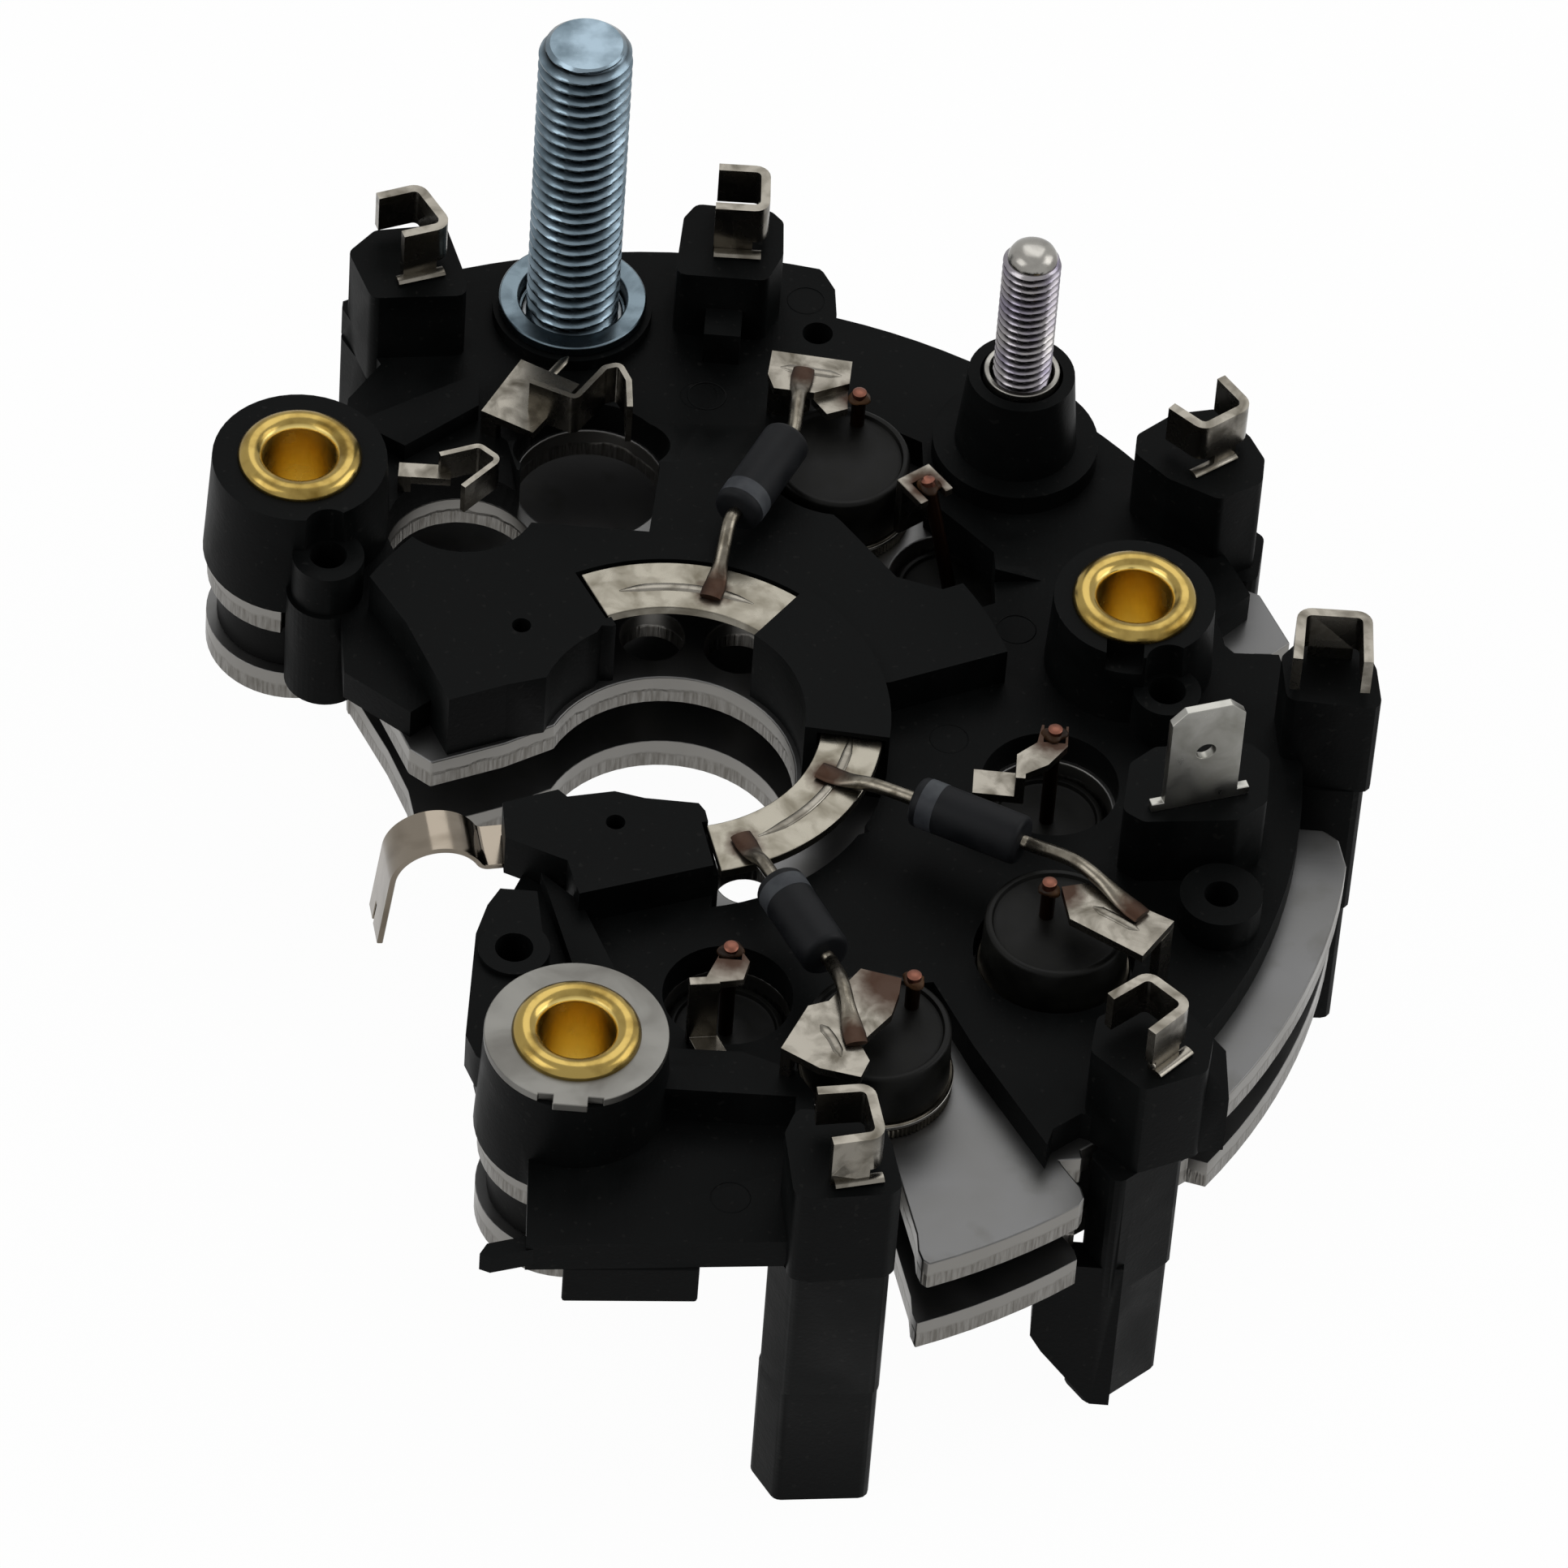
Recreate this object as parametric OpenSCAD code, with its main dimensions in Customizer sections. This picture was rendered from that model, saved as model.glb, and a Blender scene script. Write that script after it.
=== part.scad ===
// Alternator rectifier: two stacked aluminium heat-sink plates, a moulded
// insulating carrier, press-fit power diodes and the terminals they feed.
// Origin: shaft axis at the underside of the lower plate. +Z up, millimetres.

/* [Plates] */
// thickness of both heat-sink plates
plateThick = 3; // [2.5:0.1:3.2]
// clear gap between the plates
plateGap = 4.8; // [4.5:0.1:5.5]
// outer radius of the upper plate
upperRadius = 56.4; // [56:0.1:57]
// outer radius of the lower plate
lowerRadius = 55.9; // [55.5:0.1:56.4]
// radius of the shaft opening
shaftRadius = 10.5; // [10:0.1:11]
// radius of the lobe round each eyelet
lobeRadius = 7.5; // [7:0.1:8]
// radius of the press-fit diode seats
seatRadius = 6.3; // [6.2:0.05:6.4]

/* [Carrier] */
// height of the low deck above the upper plate
lowDeck = 3; // [2.5:0.1:3.5]
// height of the high deck above the low deck
highDeck = 3.7; // [3.2:0.1:4]
// outer radius of the deck
deckRadius = 52.2; // [51.8:0.1:52.6]
// outer radius of the sector under the charging stud
studSector = 57.5; // [57:0.1:58]
// height of the lead towers above the low deck
towerRise = 7.2; // [6.5:0.1:8]
// depth of the legs below the lower plate
legDrop = 17.5; // [14:0.5:20]
// depth of the small step on every leg
legStep = 3.7; // [3:0.1:5]

/* [Eyelets] */
// bore radius of the mounting eyelets
eyeletBore = 3.05; // [3:0.05:3.1]
// outer radius of the eyelet tube
eyeletTube = 3.6; // [3.5:0.05:3.7]
// radius of the rolled flange
eyeletFlange = 5.2; // [5:0.1:5.4]
// height of the eyelet tops
eyeletTop = 22.3; // [22:0.1:23]

/* [Studs] */
// radius of the charging stud
chargeRadius = 3.95; // [3.9:0.01:4]
// height of the charging stud's end
chargeTop = 45.7; // [42:0.1:48]
// radius of the lamp stud
lampRadius = 2.45; // [2.4:0.01:2.5]
// height of the lamp stud's end
lampTop = 38.5; // [36:0.1:41]
// width of the blade terminal
bladeWidth = 6.3; // [6.2:0.05:6.4]
// thickness of the blade terminal
bladeThick = 0.8; // [0.75:0.01:0.85]

/* [Strips] */
// thickness of the tinned strips
stripThick = 0.8; // [0.7:0.05:0.9]
// height of the stator hooks' walls
hookTall = 3.7; // [3.4:0.1:4]
// inner radius of the exciter ring
ringInner = 12.3; // [12.2:0.05:12.5]
// outer radius of the exciter ring
ringOuter = 17.4; // [17.2:0.05:17.5]

/* [Diodes] */
// radius of the power diodes' moulded bodies
bodyRadius = 6; // [5.8:0.05:6.05]
// radius of the exciter diodes' bodies
smallRadius = 2.1; // [2:0.1:2.3]
// radius of the diode leads
leadRadius = 0.6; // [0.5:0.05:0.7]

/* [Hidden] */
$fn = 96;
eps = 0.01;
fit = 0.3;
lowerTop = plateThick;
upperBase = plateThick + plateGap;
upperTop = upperBase + plateThick;
lowTop = upperTop + lowDeck;
highTop = lowTop + highDeck;
towerTop = lowTop + towerRise;
hookBase = towerTop + 1.3;
hookTop = hookBase + hookTall;
padBase = 19.8;
bossTop = eyeletTop - 0.9;
washerThick = 0.8;
ringTop = highTop - 0.1;
ringThick = 0.9;
bandTop = highTop + 0.7;
cupTop = 1.7;
bodyRise = 6.8;
towerHoleRadius = 0.8;
edgeRound = 0.9;
rimDrawn = 52.2;
spareHole = 6.3;
hairpinBase = 14.8;
hairpinTop = 17.8;

eyeletLeft = [-32.6, 22.3];
eyeletRight = [37.3, 13.5];
eyeletFront = [-5.3, -38.7];
chargePos = [-11.5, 49];
lampPos = [26.8, 36.4];
bladePos = [43.3, -8.1];
bladeTurn = 20.5;
tubeLeft = [-29.5, 14.6];
tubeRight = [40.5, 6.6];
tubeFront = [-11, -27.2];

posBack = [12.2, 31.1];
posRight = [32.5, -19.5];
posFront = [18.7, -32.2];
posSpare = [-8.7, 32];
negBack = [22.3, 24];
negBackTip = [19.6, 26.2];
negRight = [31.4, -1];
negFront = [6.4, -26.8];
negFrontTip = [6.4, -28.4];
negSpare = [-18.9, 22.9];

function unit(v) = v / norm(v);

// arc that rounds the corner b of the path a, b, c
function cornerArc(a, b, c, r, n) =
  let (
    u = unit(a - b),
    v = unit(c - b),
    h = acos(u * v) / 2,
    s = b + u * r / tan(h),
    o = b + unit(u + v) * r / sin(h),
    a0 = atan2(s[1] - o[1], s[0] - o[0]),
    side = u[0] * v[1] - u[1] * v[0],
    sweep = (side > 0 ? -1 : 1) * (180 - 2 * h)
  )
  [for (k = [0:n]) o + r * [cos(a0 + sweep * k / n), sin(a0 + sweep * k / n)]];

// closed outline with every corner rounded
function rounded(p, r, n = 3) =
  let (m = len(p))
  [for (i = [0:m - 1]) each cornerArc(p[(i + m - 1) % m], p[i], p[(i + 1) % m], r, n)];

// path with every inner corner rounded
function bend(p, r, n = 5) =
  [for (i = [0:len(p) - 1]) each
    (i == 0 || i == len(p) - 1) ? [p[i]] : cornerArc(p[i - 1], p[i], p[i + 1], r, n)];

function sideOf(q, i, d) =
  let (
    a = q[max(i - 1, 0)],
    b = q[min(i + 1, len(q) - 1)],
    t = unit(b - a)
  )
  q[i] + d * [-t[1], t[0]];

// closed outline of a strip of thickness t bent along a path
function ribbon(q, t) =
  concat(
    [for (i = [0:len(q) - 1]) sideOf(q, i, t / 2)],
    [for (i = [len(q) - 1:-1:0]) sideOf(q, i, -t / 2)]
  );

module slab(z0, z1) {
  translate([0, 0, z0])
    linear_extrude(z1 - z0)
      children();
}

module disc(at, r) {
  translate(at)
    circle(r);
}

module rod(at, r, z0, z1) {
  translate([at[0], at[1], z0])
    cylinder(r = r, h = z1 - z0);
}

// plates

module plateBack() {
  polygon([
    [-9.5, 4.2], [-13.6, 1.6], [-19.5, -1.2], [-21.4, 0.1], [-25.6, 8.6], [-27.5, 14],
    [-29.5, 36], [-27, 44], [-20, 60], [44, 60], [44.5, 26], [50.4, 20], [50.4, 1.5],
    [54.6, -1.3], [55.5, -2], [60, -20], [60, -34.6], [44.6, -31], [36.2, -38.6], [33.5, -39.2],
    [20, -37.8], [6, -38.6], [-3, -33], [-9, -24], [-9.5, -10.5], [0, 0]
  ]);
}

module plateTab() {
  polygon([[43, 18], [49.4, 18.4], [50.9, 19.9], [48.2, 25.2], [47.2, 25.6], [42, 25.6]]);
}

module plateSector(r) {
  intersection() {
    circle(r);
    polygon([
      [33.5, -38.4], [34.7, -40.2], [35.8, -41.7], [36.1, -42.8], [35.7, -43.8], [34, -50], [26, -54],
      [24.2, -51.1], [23.5, -50.6], [23.1, -49.6], [22.9, -47.9], [20, -37.8], [26, -30]
    ]);
  }
}

module plateRim(r) {
  intersection() {
    plateBack();
    union() {
      circle(51.4);
      intersection() {
        circle(r);
        translate([20, -58])
          square([40, 57]);
      }
    }
  }
}

// one plate without its diode holes
module plate(r, z0, z1) {
  difference() {
    union() {
      slab(z0, z1)
        plateRim(r);
      slab(z0, z1)
        plateSector(r);
      for (p = [eyeletLeft, eyeletRight, eyeletFront])
        rod(p, lobeRadius, z0, z1);
      children();
    }
    rod([0, 0], shaftRadius, z0 - 1, z1 + 1);
    for (p = [eyeletLeft, eyeletRight, eyeletFront])
      rod(p, eyeletTube + fit, z0 - 1, z1 + 1);
    // clear of the front-right leg
    slab(z0 - 1, z1 + 1)
      polygon([[46.2, -34.9], [43.6, -31.2], [35.6, -37.8], [36.4, -41.6], [38.4, -44.6], [52, -42]]);
  }
}

module heat_sink_upper() {
  color("silver")
    difference() {
      plate(upperRadius, upperBase, upperTop)
        slab(upperBase, upperTop)
          plateTab();
      for (p = [posBack, posRight, posFront])
        rod(p, bodyRadius, upperBase - 1, upperTop + 1);
      rod(posSpare, seatRadius, upperBase - 1, upperTop + 1);
      rod(tubeLeft, 3.4 + fit, upperBase - 1, upperTop + 1);
      for (p = [negBack, negRight, negFront])
        rod(p, 5.3, upperBase - 1, upperTop + 1);
      rod(negSpare, spareHole, upperBase - 1, upperTop + 1);
      // vents under the exciter ring
      rod([-2.3, 15], 2.7, upperBase - 1, upperTop + 1);
      rod([5, 14.5], 2.9, upperBase - 1, upperTop + 1);
      rod([7.2, -11.4], 2.6, upperBase - 1, upperTop + 1);
    }
}

module heat_sink_lower() {
  color("silver")
    difference() {
      plate(lowerRadius, 0, lowerTop);
      // slanted left side
      slab(-1, lowerTop + 1)
        polygon([[-34, 13.5], [-27.2, 13.5], [-23.5, 6.9], [-21.5, 2.6], [-20.4, -1.6], [-34, -6]]);
      for (p = [negBack, negRight, negFront])
        rod(p, 5.9, -1, lowerTop + 1);
      rod(negSpare, seatRadius, -1, lowerTop + 1);
    }
}

module spacer(p) {
  color("dimgray")
    slab(lowerTop, upperBase)
      difference() {
        disc(p, 6.6);
        disc(p, eyeletTube + fit);
      }
}

// carrier

// outlines of the six lead towers, anticlockwise order from the charging stud
towerPaths = [
  [[-30.6, 47.2], [-28.6, 50], [-22.7, 51.4], [-20.9, 46.4], [-20.1, 43.1], [-28.2, 41.9]],
  [[-2.9, 47.6], [-2.6, 54.4], [-1.6, 56.2], [4.8, 56], [5.9, 54.8], [6.1, 50.9], [4.9, 47.6]],
  [[39.6, 28], [36.8, 30.6], [36.8, 32.8], [39.8, 35.6], [43.5, 36.6], [46.3, 33.6], [47.6, 31.1], [47.5, 28.4], [44, 26]],
  [[50.2, 3.8], [49.6, 8.6], [51.2, 10.8], [56.4, 10.8], [57.5, 8], [58.1, 3.5]],
  [[35.6, -36.2], [40, -39.9], [45, -37.4], [45.4, -33.4], [40.6, -30.2], [36, -32.4]],
  [[11.8, -47.2], [12.6, -44.6], [19.2, -44.4], [20.4, -47.8], [21.4, -51.9], [20.6, -52.7], [14.7, -53.8], [12.9, -53.6]]
];

legPaths = [
  [[-31.2, 47.4], [-28.6, 50.6], [-22.4, 52.2], [-24.4, 46.1], [-28.4, 43.1]],
  [[-2.4, 51.7], [-2.2, 56], [5.2, 56], [5.6, 51.7]],
  [[44.8, 26.6], [41, 32], [43.4, 35.8], [48.4, 31.9], [47.9, 26.6]],
  [[51.2, 3.2], [51.6, 9.8], [56.6, 9.8], [57.6, 3.6]],
  [[36.2, -38.2], [38.7, -41.2], [44.2, -36], [41.6, -33.2]],
  [[11.2, -50.4], [13.4, -53.6], [21, -52.6], [20.6, -46.8], [12, -47.4]]
];

module towerPlan(i) {
  polygon(rounded(towerPaths[i], edgeRound));
}

module legPlan(i) {
  polygon(rounded(legPaths[i], edgeRound));
}

module legTipPlan(i) {
  offsetIn = 0.35;
  translate(-offsetIn * unit(legCentre(i)))
    legPlan(i);
}

function legCentre(i) = [[-27, 48], [1.6, 54], [45, 31], [54.5, 6.5], [40.2, -37.2], [16, -50.3]][i];

// towers and hooks move out with the rim of the deck
module atRim(i) {
  translate((deckRadius - rimDrawn) * unit(legCentre(i)))
    children();
}

module deckSpan() {
  polygon([
    [-29.8, 12.6], [-29.6, 36.9], [-26.8, 42], [-22, 60], [60, 60], [60, -60], [41, -38],
    [35.4, -36.5], [33.2, -38.4], [32.8, -40.1], [26.5, -30.3], [22.9, -23.7], [17, -8],
    [10, 2], [-13.7, 2.4], [-18.3, 0.2], [-22.5, 8.1]
  ]);
}

module lowPlan() {
  intersection() {
    circle(deckRadius);
    deckSpan();
  }
  intersection() {
    circle(studSector);
    polygon([[-31, 47.6], [-27, 41], [11, 40], [11, 51.4], [10.7, 54.4], [9.6, 56.4], [6, 60], [-31, 60]]);
  }
  // floor between the ring and the front diodes
  polygon([[3.6, -15], [17.4, -7.5], [22.9, -23.7], [18.5, -24.6], [13.6, -27.5], [11.6, -31], [11.8, -37.6], [2, -36.6], [-3, -33], [-1, -20]]);
  frontBlockPlan();
}

module frontBlockPlan() {
  polygon([[-8.7, -38.5], [-7.9, -54.8], [14.6, -52.1], [20.4, -49], [19.6, -44.4], [13.4, -40.4], [2, -36], [-2, -34]]);
}

module highPlan() {
  difference() {
    union() {
      intersection() {
        circle(29);
        polygon([
          [-22.5, 8.1], [-18.3, -0.2], [-13.7, 2], [-8.8, 3.8], [-6.4, 9.5], [9, 9.5], [11, 4],
          [17.7, 5.6], [29.1, 11], [30.4, 11.6], [30, 20], [22, 40], [-14, 40], [-28, 16]
        ]);
      }
    }
    circle(11);
  }
}

module highBlock() {
  slab(upperTop, highTop)
    highPlan();
  // long slope from the high deck down to the low one
  intersection() {
    rotate_extrude()
      polygon([[26, upperTop], [26, highTop], [29, highTop], [37, lowTop], [37, upperTop]]);
    slab(upperTop, highTop)
      polygon([[0, 20], [-14, 24], [-18, 44], [12, 50], [22, 40], [30, 22], [16, 20]]);
  }
  // curved bridge that carries the exciter ring
  slab(upperTop, bandTop)
    intersection() {
      difference() {
        circle(18);
        circle(11);
      }
      polygon([[0, 0], [13, 19], [24, 10], [24, -1.7]]);
    }
}

module frontArm() {
  slab(upperTop, highTop)
    polygon([[-7.9, -9.9], [-4.1, -8.9], [-1.6, -9.4], [2.8, -9.5], [3.4, -10.3], [4.9, -16], [-6.2, -20.4], [-7.4, -16.9]]);
  // free end over the contact spring
  slab(springSeat - 0.1, highTop)
    polygon([
      [-13.1, -11.1], [-8.7, -9.2], [-7.9, -9.9], [-4.1, -8.9], [-1.6, -9.4], [2.8, -9.5], [3.4, -10.3],
      [4.9, -16], [-6.2, -20.4], [-7.4, -16.9], [-12.6, -14.9]
    ]);
  slab(upperTop, lowTop)
    polygon([[-11, -15.4], [-6, -19], [4.6, -15.6], [3.6, -22], [1.2, -29], [-3, -33], [-12, -33], [-12.4, -19.6]]);
  slab(lowTop, lowTop + 1.6)
    polygon([[-9.5, -16.5], [-6, -19.5], [-1.8, -28.6], [-5, -30]]);
  slab(upperTop, highTop)
    polygon([[-1, -34.4], [2, -36.2], [8, -36], [12.4, -37.6], [14, -40], [14, -44.6], [12.5, -44.6], [12.5, -40.3], [-1, -40.6]]);
}

module towers() {
  for (i = [0:5])
    atRim(i) {
      slab(upperTop, towerTop)
        towerPlan(i);
      slab(-legStep, upperTop)
        legPlan(i);
      slab(-legDrop, -legStep + eps)
        legTipPlan(i);
    }
  // buttress and gusset of the front-right tower
  atRim(4) {
    slab(upperTop, highTop - 0.5)
      polygon([[40, -30], [43.6, -27.8], [46.6, -31.5], [47, -36.6], [44.5, -37.2], [40, -36]]);
    translate([0, -38, 0])
      rotate([90, 0, 0])
        linear_extrude(2.6)
          polygon([[33.4, -fit], [33, -5], [33, -9.4], [34, -11.3], [38.4, -legDrop], [40, -legDrop], [40, -fit]]);
  }
  // step in front of the back tower
  slab(upperTop, lowTop + 3.4)
    translate([-0.1, 44.5])
      square([3.1, 4]);
  // rib towards the left eyelet
  slab(upperTop, lowTop + 1.8)
    polygon([[-28.6, 32.6], [-18.8, 39.4], [-18.5, 35.6], [-24.3, 30.2]]);
}

module bosses() {
  translate([eyeletLeft[0], eyeletLeft[1], upperTop])
    cylinder(r1 = 7.9, r2 = 7.3, h = bossTop - upperTop);
  translate([eyeletRight[0], eyeletRight[1], upperTop])
    cylinder(r1 = 7.1, r2 = 6.7, h = bossTop - upperTop);
  translate([eyeletFront[0], eyeletFront[1], upperTop])
    cylinder(r1 = 7.9, r2 = 7.4, h = bossTop - washerThick - upperTop);
  // screw tubes
  rod(tubeLeft, 3, 3.4, highTop + 0.5);
  rod(tubeLeft, 3.4, 3.4, lowTop);
  rod(tubeRight, 2.8, upperTop, highTop + 0.5);
  rod(tubeFront, 2.9, upperTop, highTop + 0.5);
  rod([45.7, -14.6], 3.4, upperTop, highTop - 0.5);
  slab(upperTop, lowTop)
    polygon([[-28.2, 12.5], [-23.7, 14.5], [-21.5, 12.7], [-19, 4], [-21.5, 1.5], [-27.3, 5.4]]);
  slab(upperTop, lowTop + 1)
    polygon([[-9.6, -20.5], [-12.6, -20.5], [-13.2, -22.4], [-13.4, -36], [-12.8, -38.2], [-9, -42], [-8.5, -27]]);
  slab(lowTop, highTop)
    polygon([[-9.6, -20.5], [-12.6, -20.5], [-13.5, -22.4], [-14.2, -25.6], [-14.2, -36.5], [-13.2, -38.6], [-9, -42], [-8.5, -27]]);
  // small tab at the front left corner
  slab(upperTop + 0.6, lowTop - 0.5)
    polygon([[-11.5, -55.6], [-11, -54.5], [-7.4, -53.2], [-7.2, -54.7], [-10.6, -55.9]]);
  // seats of the studs and the blade
  rod(chargePos, 6.8, lowTop, lowTop + 1.2);
  rod(lampPos, 7, lowTop, lowTop + 2);
  translate([lampPos[0], lampPos[1], lowTop])
    cylinder(r1 = 5.3, r2 = 4.5, h = 9.8);
  slab(upperTop, towerTop)
    polygon(rounded(
      [[37.2, -9.9], [37.6, -4.6], [39.6, -2.6], [47.4, -1.4], [49, -3], [48.9, -7.8], [46.6, -10], [39, -11]],
      edgeRound
    ));
}

module carrierCuts() {
  for (p = [eyeletLeft, eyeletRight, eyeletFront])
    rod(p, eyeletTube + fit, upperTop - 1, eyeletTop + 1);
  rod(eyeletLeft, 6.6 + fit, lowerTop, upperTop);
  // notch in the right boss
  slab(bossTop - 1.9, bossTop + 1)
    translate([35.2, 5.5])
      square([3.1, 3.4]);
  for (p = [tubeLeft, tubeRight, tubeFront])
    rod(p, 1.55, lowTop - 2.5, highTop + 2);
  rod([45.7, -14.6], 1.4, lowTop, highTop + 2);
  // room for the screwdriver over the tubes beside the bosses
  for (p = [tubeLeft, tubeRight])
    rod(p, 2, highTop + 0.5, bossTop + 1);
  // studs
  rod(chargePos, 5.3, upperTop - 1, lowTop + 3);
  rod(lampPos, lampRadius + shankExtra + fit, upperTop - 1, lowTop + 12);
  rod(lampPos, lampCollar + fit, lowTop + 2, lowTop + 12);
  // diode openings
  rod(posBack, 6.9, upperTop - 1, highTop + 2);
  slab(upperTop - 1, highTop + 2)
    polygon([[12.6, 23.6], [6, 30], [6.6, 37.6], [14, 39.4], [19, 37], [19.6, 30], [25.6, 24], [26, 19], [21.5, 16.6], [17.6, 17.6]]);
  rod(posRight, seatRadius + fit, upperTop - 1, highTop + 2);
  rod(negRight, 5.7, upperTop - 1, highTop + 2);
  rod(posSpare, 6.6, upperTop - 1, highTop + 2);
  rod(negSpare, spareHole, upperTop - 1, highTop + 2);
  slab(upperTop - 1, highTop + 2)
    polygon([[-14.6, 26], [-14.2, 20.6], [-3.2, 20.6], [-2.8, 28], [-3.6, 34], [-14, 36]]);
  rod(negFront, 5.3, upperTop - 1, highTop + 2);
  // windows that show the exciter ring
  slab(upperTop - 1, highTop + 2)
    intersection() {
      difference() {
        circle(ringOuter + fit);
        circle(ringInner - fit - 1);
      }
      polygon([[0, 0], [-13.5, 25], [0, 30], [16, 23.5]]);
    }
  // slot for the hidden stretch of the ring
  slab(ringTop - ringThick - fit, ringTop + fit)
    intersection() {
      difference() {
        circle(ringOuter + fit);
        circle(ringInner - fit);
      }
      polygon([[0, 0], [5.3, -19.3], [40, -20], [40, 30], [16, 40], [-12.7, 21.5]]);
    }
  // slot of the contact spring
  translate([springRoot[0], springRoot[1], springSeat])
    rotate([0, 0, springTurn])
      translate([-8.5, -springWide / 2 - fit, 0])
        cube([11.6, springWide + 2 * fit, springThick + fit]);
  // the deck stops short of the plate's tab
  slab(upperTop - 1, lowTop + 1)
    polygon([[60, 23], [47.8, 22.9], [44.5, 19.1], [45.3, 16.2], [46.1, 15.4], [49.8, 15.6], [60, 15.8]]);
  // ejector and screw holes
  for (p = [[-13, 8.8], [-3.8, -12.3]])
    rod(p, towerHoleRadius, highTop - 2, highTop + 2);
  rod([9.5, 49], 1.3, upperTop - 1, lowTop + 2);
}

module carrier() {
  color("dimgray")
    difference() {
      union() {
        difference() {
          slab(upperTop, lowTop)
            lowPlan();
          rod([0, 0], 18, upperTop - 1, lowTop + 1);
        }
        highBlock();
        frontArm();
        towers();
        bosses();
      }
      carrierCuts();
    }
}

// eyelets

rollMid = (eyeletFlange + eyeletBore) / 2;
rollHalf = (eyeletFlange - eyeletBore) / 2;

module eyelet(p) {
  color("gold")
    translate([p[0], p[1], 0])
      rotate_extrude()
        polygon(concat(
          [[eyeletBore, -0.8], [4.6, -0.8], [4.6, 0], [eyeletTube, 0], [eyeletTube, bossTop], [eyeletFlange, bossTop]],
          [for (a = [15:15:150]) [rollMid + rollHalf * cos(a), bossTop + (eyeletTop - bossTop) * sin(a)]],
          [[eyeletBore, bossTop + 0.35]]
        ));
}

module washer_front() {
  color("silver")
    slab(bossTop - washerThick, bossTop)
      difference() {
        union() {
          disc(eyeletFront, 7.4);
          translate(eyeletFront - [1.4, 7.7])
            square([2.8, 1.5]);
        }
        disc(eyeletFront, eyeletTube + fit);
        // notches beside the locating tab
        for (dx = [-2.6, 1.4])
          translate(eyeletFront + [dx, -8])
            square([1.2, 1.3]);
      }
}

// studs and terminals

chamfer = 0.9;
lampCollar = 3.2;
shankExtra = 0.25;
chargeThread = lowTop + 2.4;
lampThread = lowTop + 10.5;

module charge_stud() {
  color("lightsteelblue")
    translate([chargePos[0], chargePos[1], 0]) {
      translate([0, 0, upperTop])
        cylinder(r = chargeRadius + shankExtra, h = chargeThread - upperTop);
      translate([0, 0, chargeThread])
        cylinder(r = chargeRadius, h = chargeTop - chamfer - chargeThread);
      translate([0, 0, chargeTop - chamfer])
        cylinder(r1 = chargeRadius, r2 = chargeRadius - chamfer, h = chamfer);
    }
}

module charge_collar() {
  color("lightsteelblue")
    difference() {
      union() {
        rod(chargePos, 5, upperTop, lowTop + 1.2);
        rod(chargePos, 6.3, lowTop + 1.2, lowTop + 2.2);
      }
      rod(chargePos, chargeRadius + shankExtra, upperTop - 1, lowTop + 3);
      rod(chargePos, 4.6, lowTop + 0.6, lowTop + 3);
    }
}

module lamp_stud() {
  color("silver") {
    rod(lampPos, lampRadius + shankExtra, upperTop, lampThread);
    rod(lampPos, lampRadius, lampThread, lampTop - 1.6);
    translate([lampPos[0], lampPos[1], lampTop - 1.6])
      intersection() {
        scale([1, 1, 1.6 / lampRadius])
          sphere(lampRadius);
        cylinder(r = lampRadius, h = 2);
      }
  }
}

module lamp_collar() {
  color("silver")
    difference() {
      rod(lampPos, lampCollar, lowTop + 2, lowTop + 10.3);
      rod(lampPos, lampRadius + shankExtra, lowTop, lowTop + 13);
    }
}

module blade_terminal() {
  bladeTall = 11.2;
  color("silver")
    translate([bladePos[0], bladePos[1], towerTop])
      rotate([90, 0, bladeTurn])
        translate([0, 0, -bladeThick / 2])
          linear_extrude(bladeThick)
            difference() {
              polygon([
                [-4.2, 0], [4.2, 0], [4.2, 0.9], [bladeWidth / 2, 0.9], [bladeWidth / 2, bladeTall - 1.2],
                [bladeWidth / 2 - 1.2, bladeTall], [1.2 - bladeWidth / 2, bladeTall], [-bladeWidth / 2, bladeTall - 1.2],
                [-bladeWidth / 2, 0.9], [-4.2, 0.9]
              ]);
              translate([0, 6.2])
                circle(towerHoleRadius);
            }
}

module exciter_ring() {
  color("silver")
    slab(ringTop - ringThick, ringTop)
      intersection() {
        difference() {
          circle(ringOuter);
          circle(ringInner);
        }
        polygon([[0, 0], [5.5, -18], [40, -20], [40, 30], [16, 40], [-11.2, 20]]);
      }
}

springWide = 4.4;
springThick = 0.5;
springSeat = lowTop - 0.5;
springRoot = [-11.5, -12];
springTurn = 13;

module contact_spring() {
  z = springSeat + springThick / 2;
  path = bend([[2.5, z], [-1.9, z], [-5.1, z + 2.2], [-10.5, z + 1.6], [-11.6, 5.4]], 2.1, 8);
  color("silver")
    translate([springRoot[0], springRoot[1], 0])
      rotate([0, 0, springTurn])
        translate([0, springWide / 2, 0])
          rotate([90, 0, 0])
            linear_extrude(springWide)
              polygon(ribbon(path, springThick));
}

// stator hooks: an upright strip bent to a U, with a foot on its tower
module hook(i, path, foot) {
  color("silver")
    atRim(i) {
      slab(hookBase, hookTop)
        polygon(ribbon(bend(path, 0.9), stripThick));
      slab(towerTop, hookBase + eps)
        polygon(ribbon(foot, stripThick));
    }
}

module hook_back_left() {
  hook(0, [[-28.4, 49.1], [-25, 50.6], [-22.2, 46.4], [-25.9, 44.8]], [[-23.2, 46.02], [-25.9, 44.8]]);
}

module hook_back() {
  hook(1, [[0.1, 55.8], [4.1, 55.9], [4.3, 51.2], [0.1, 51.1]], [[3.4, 51.18], [0.1, 51.1]]);
}

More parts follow.
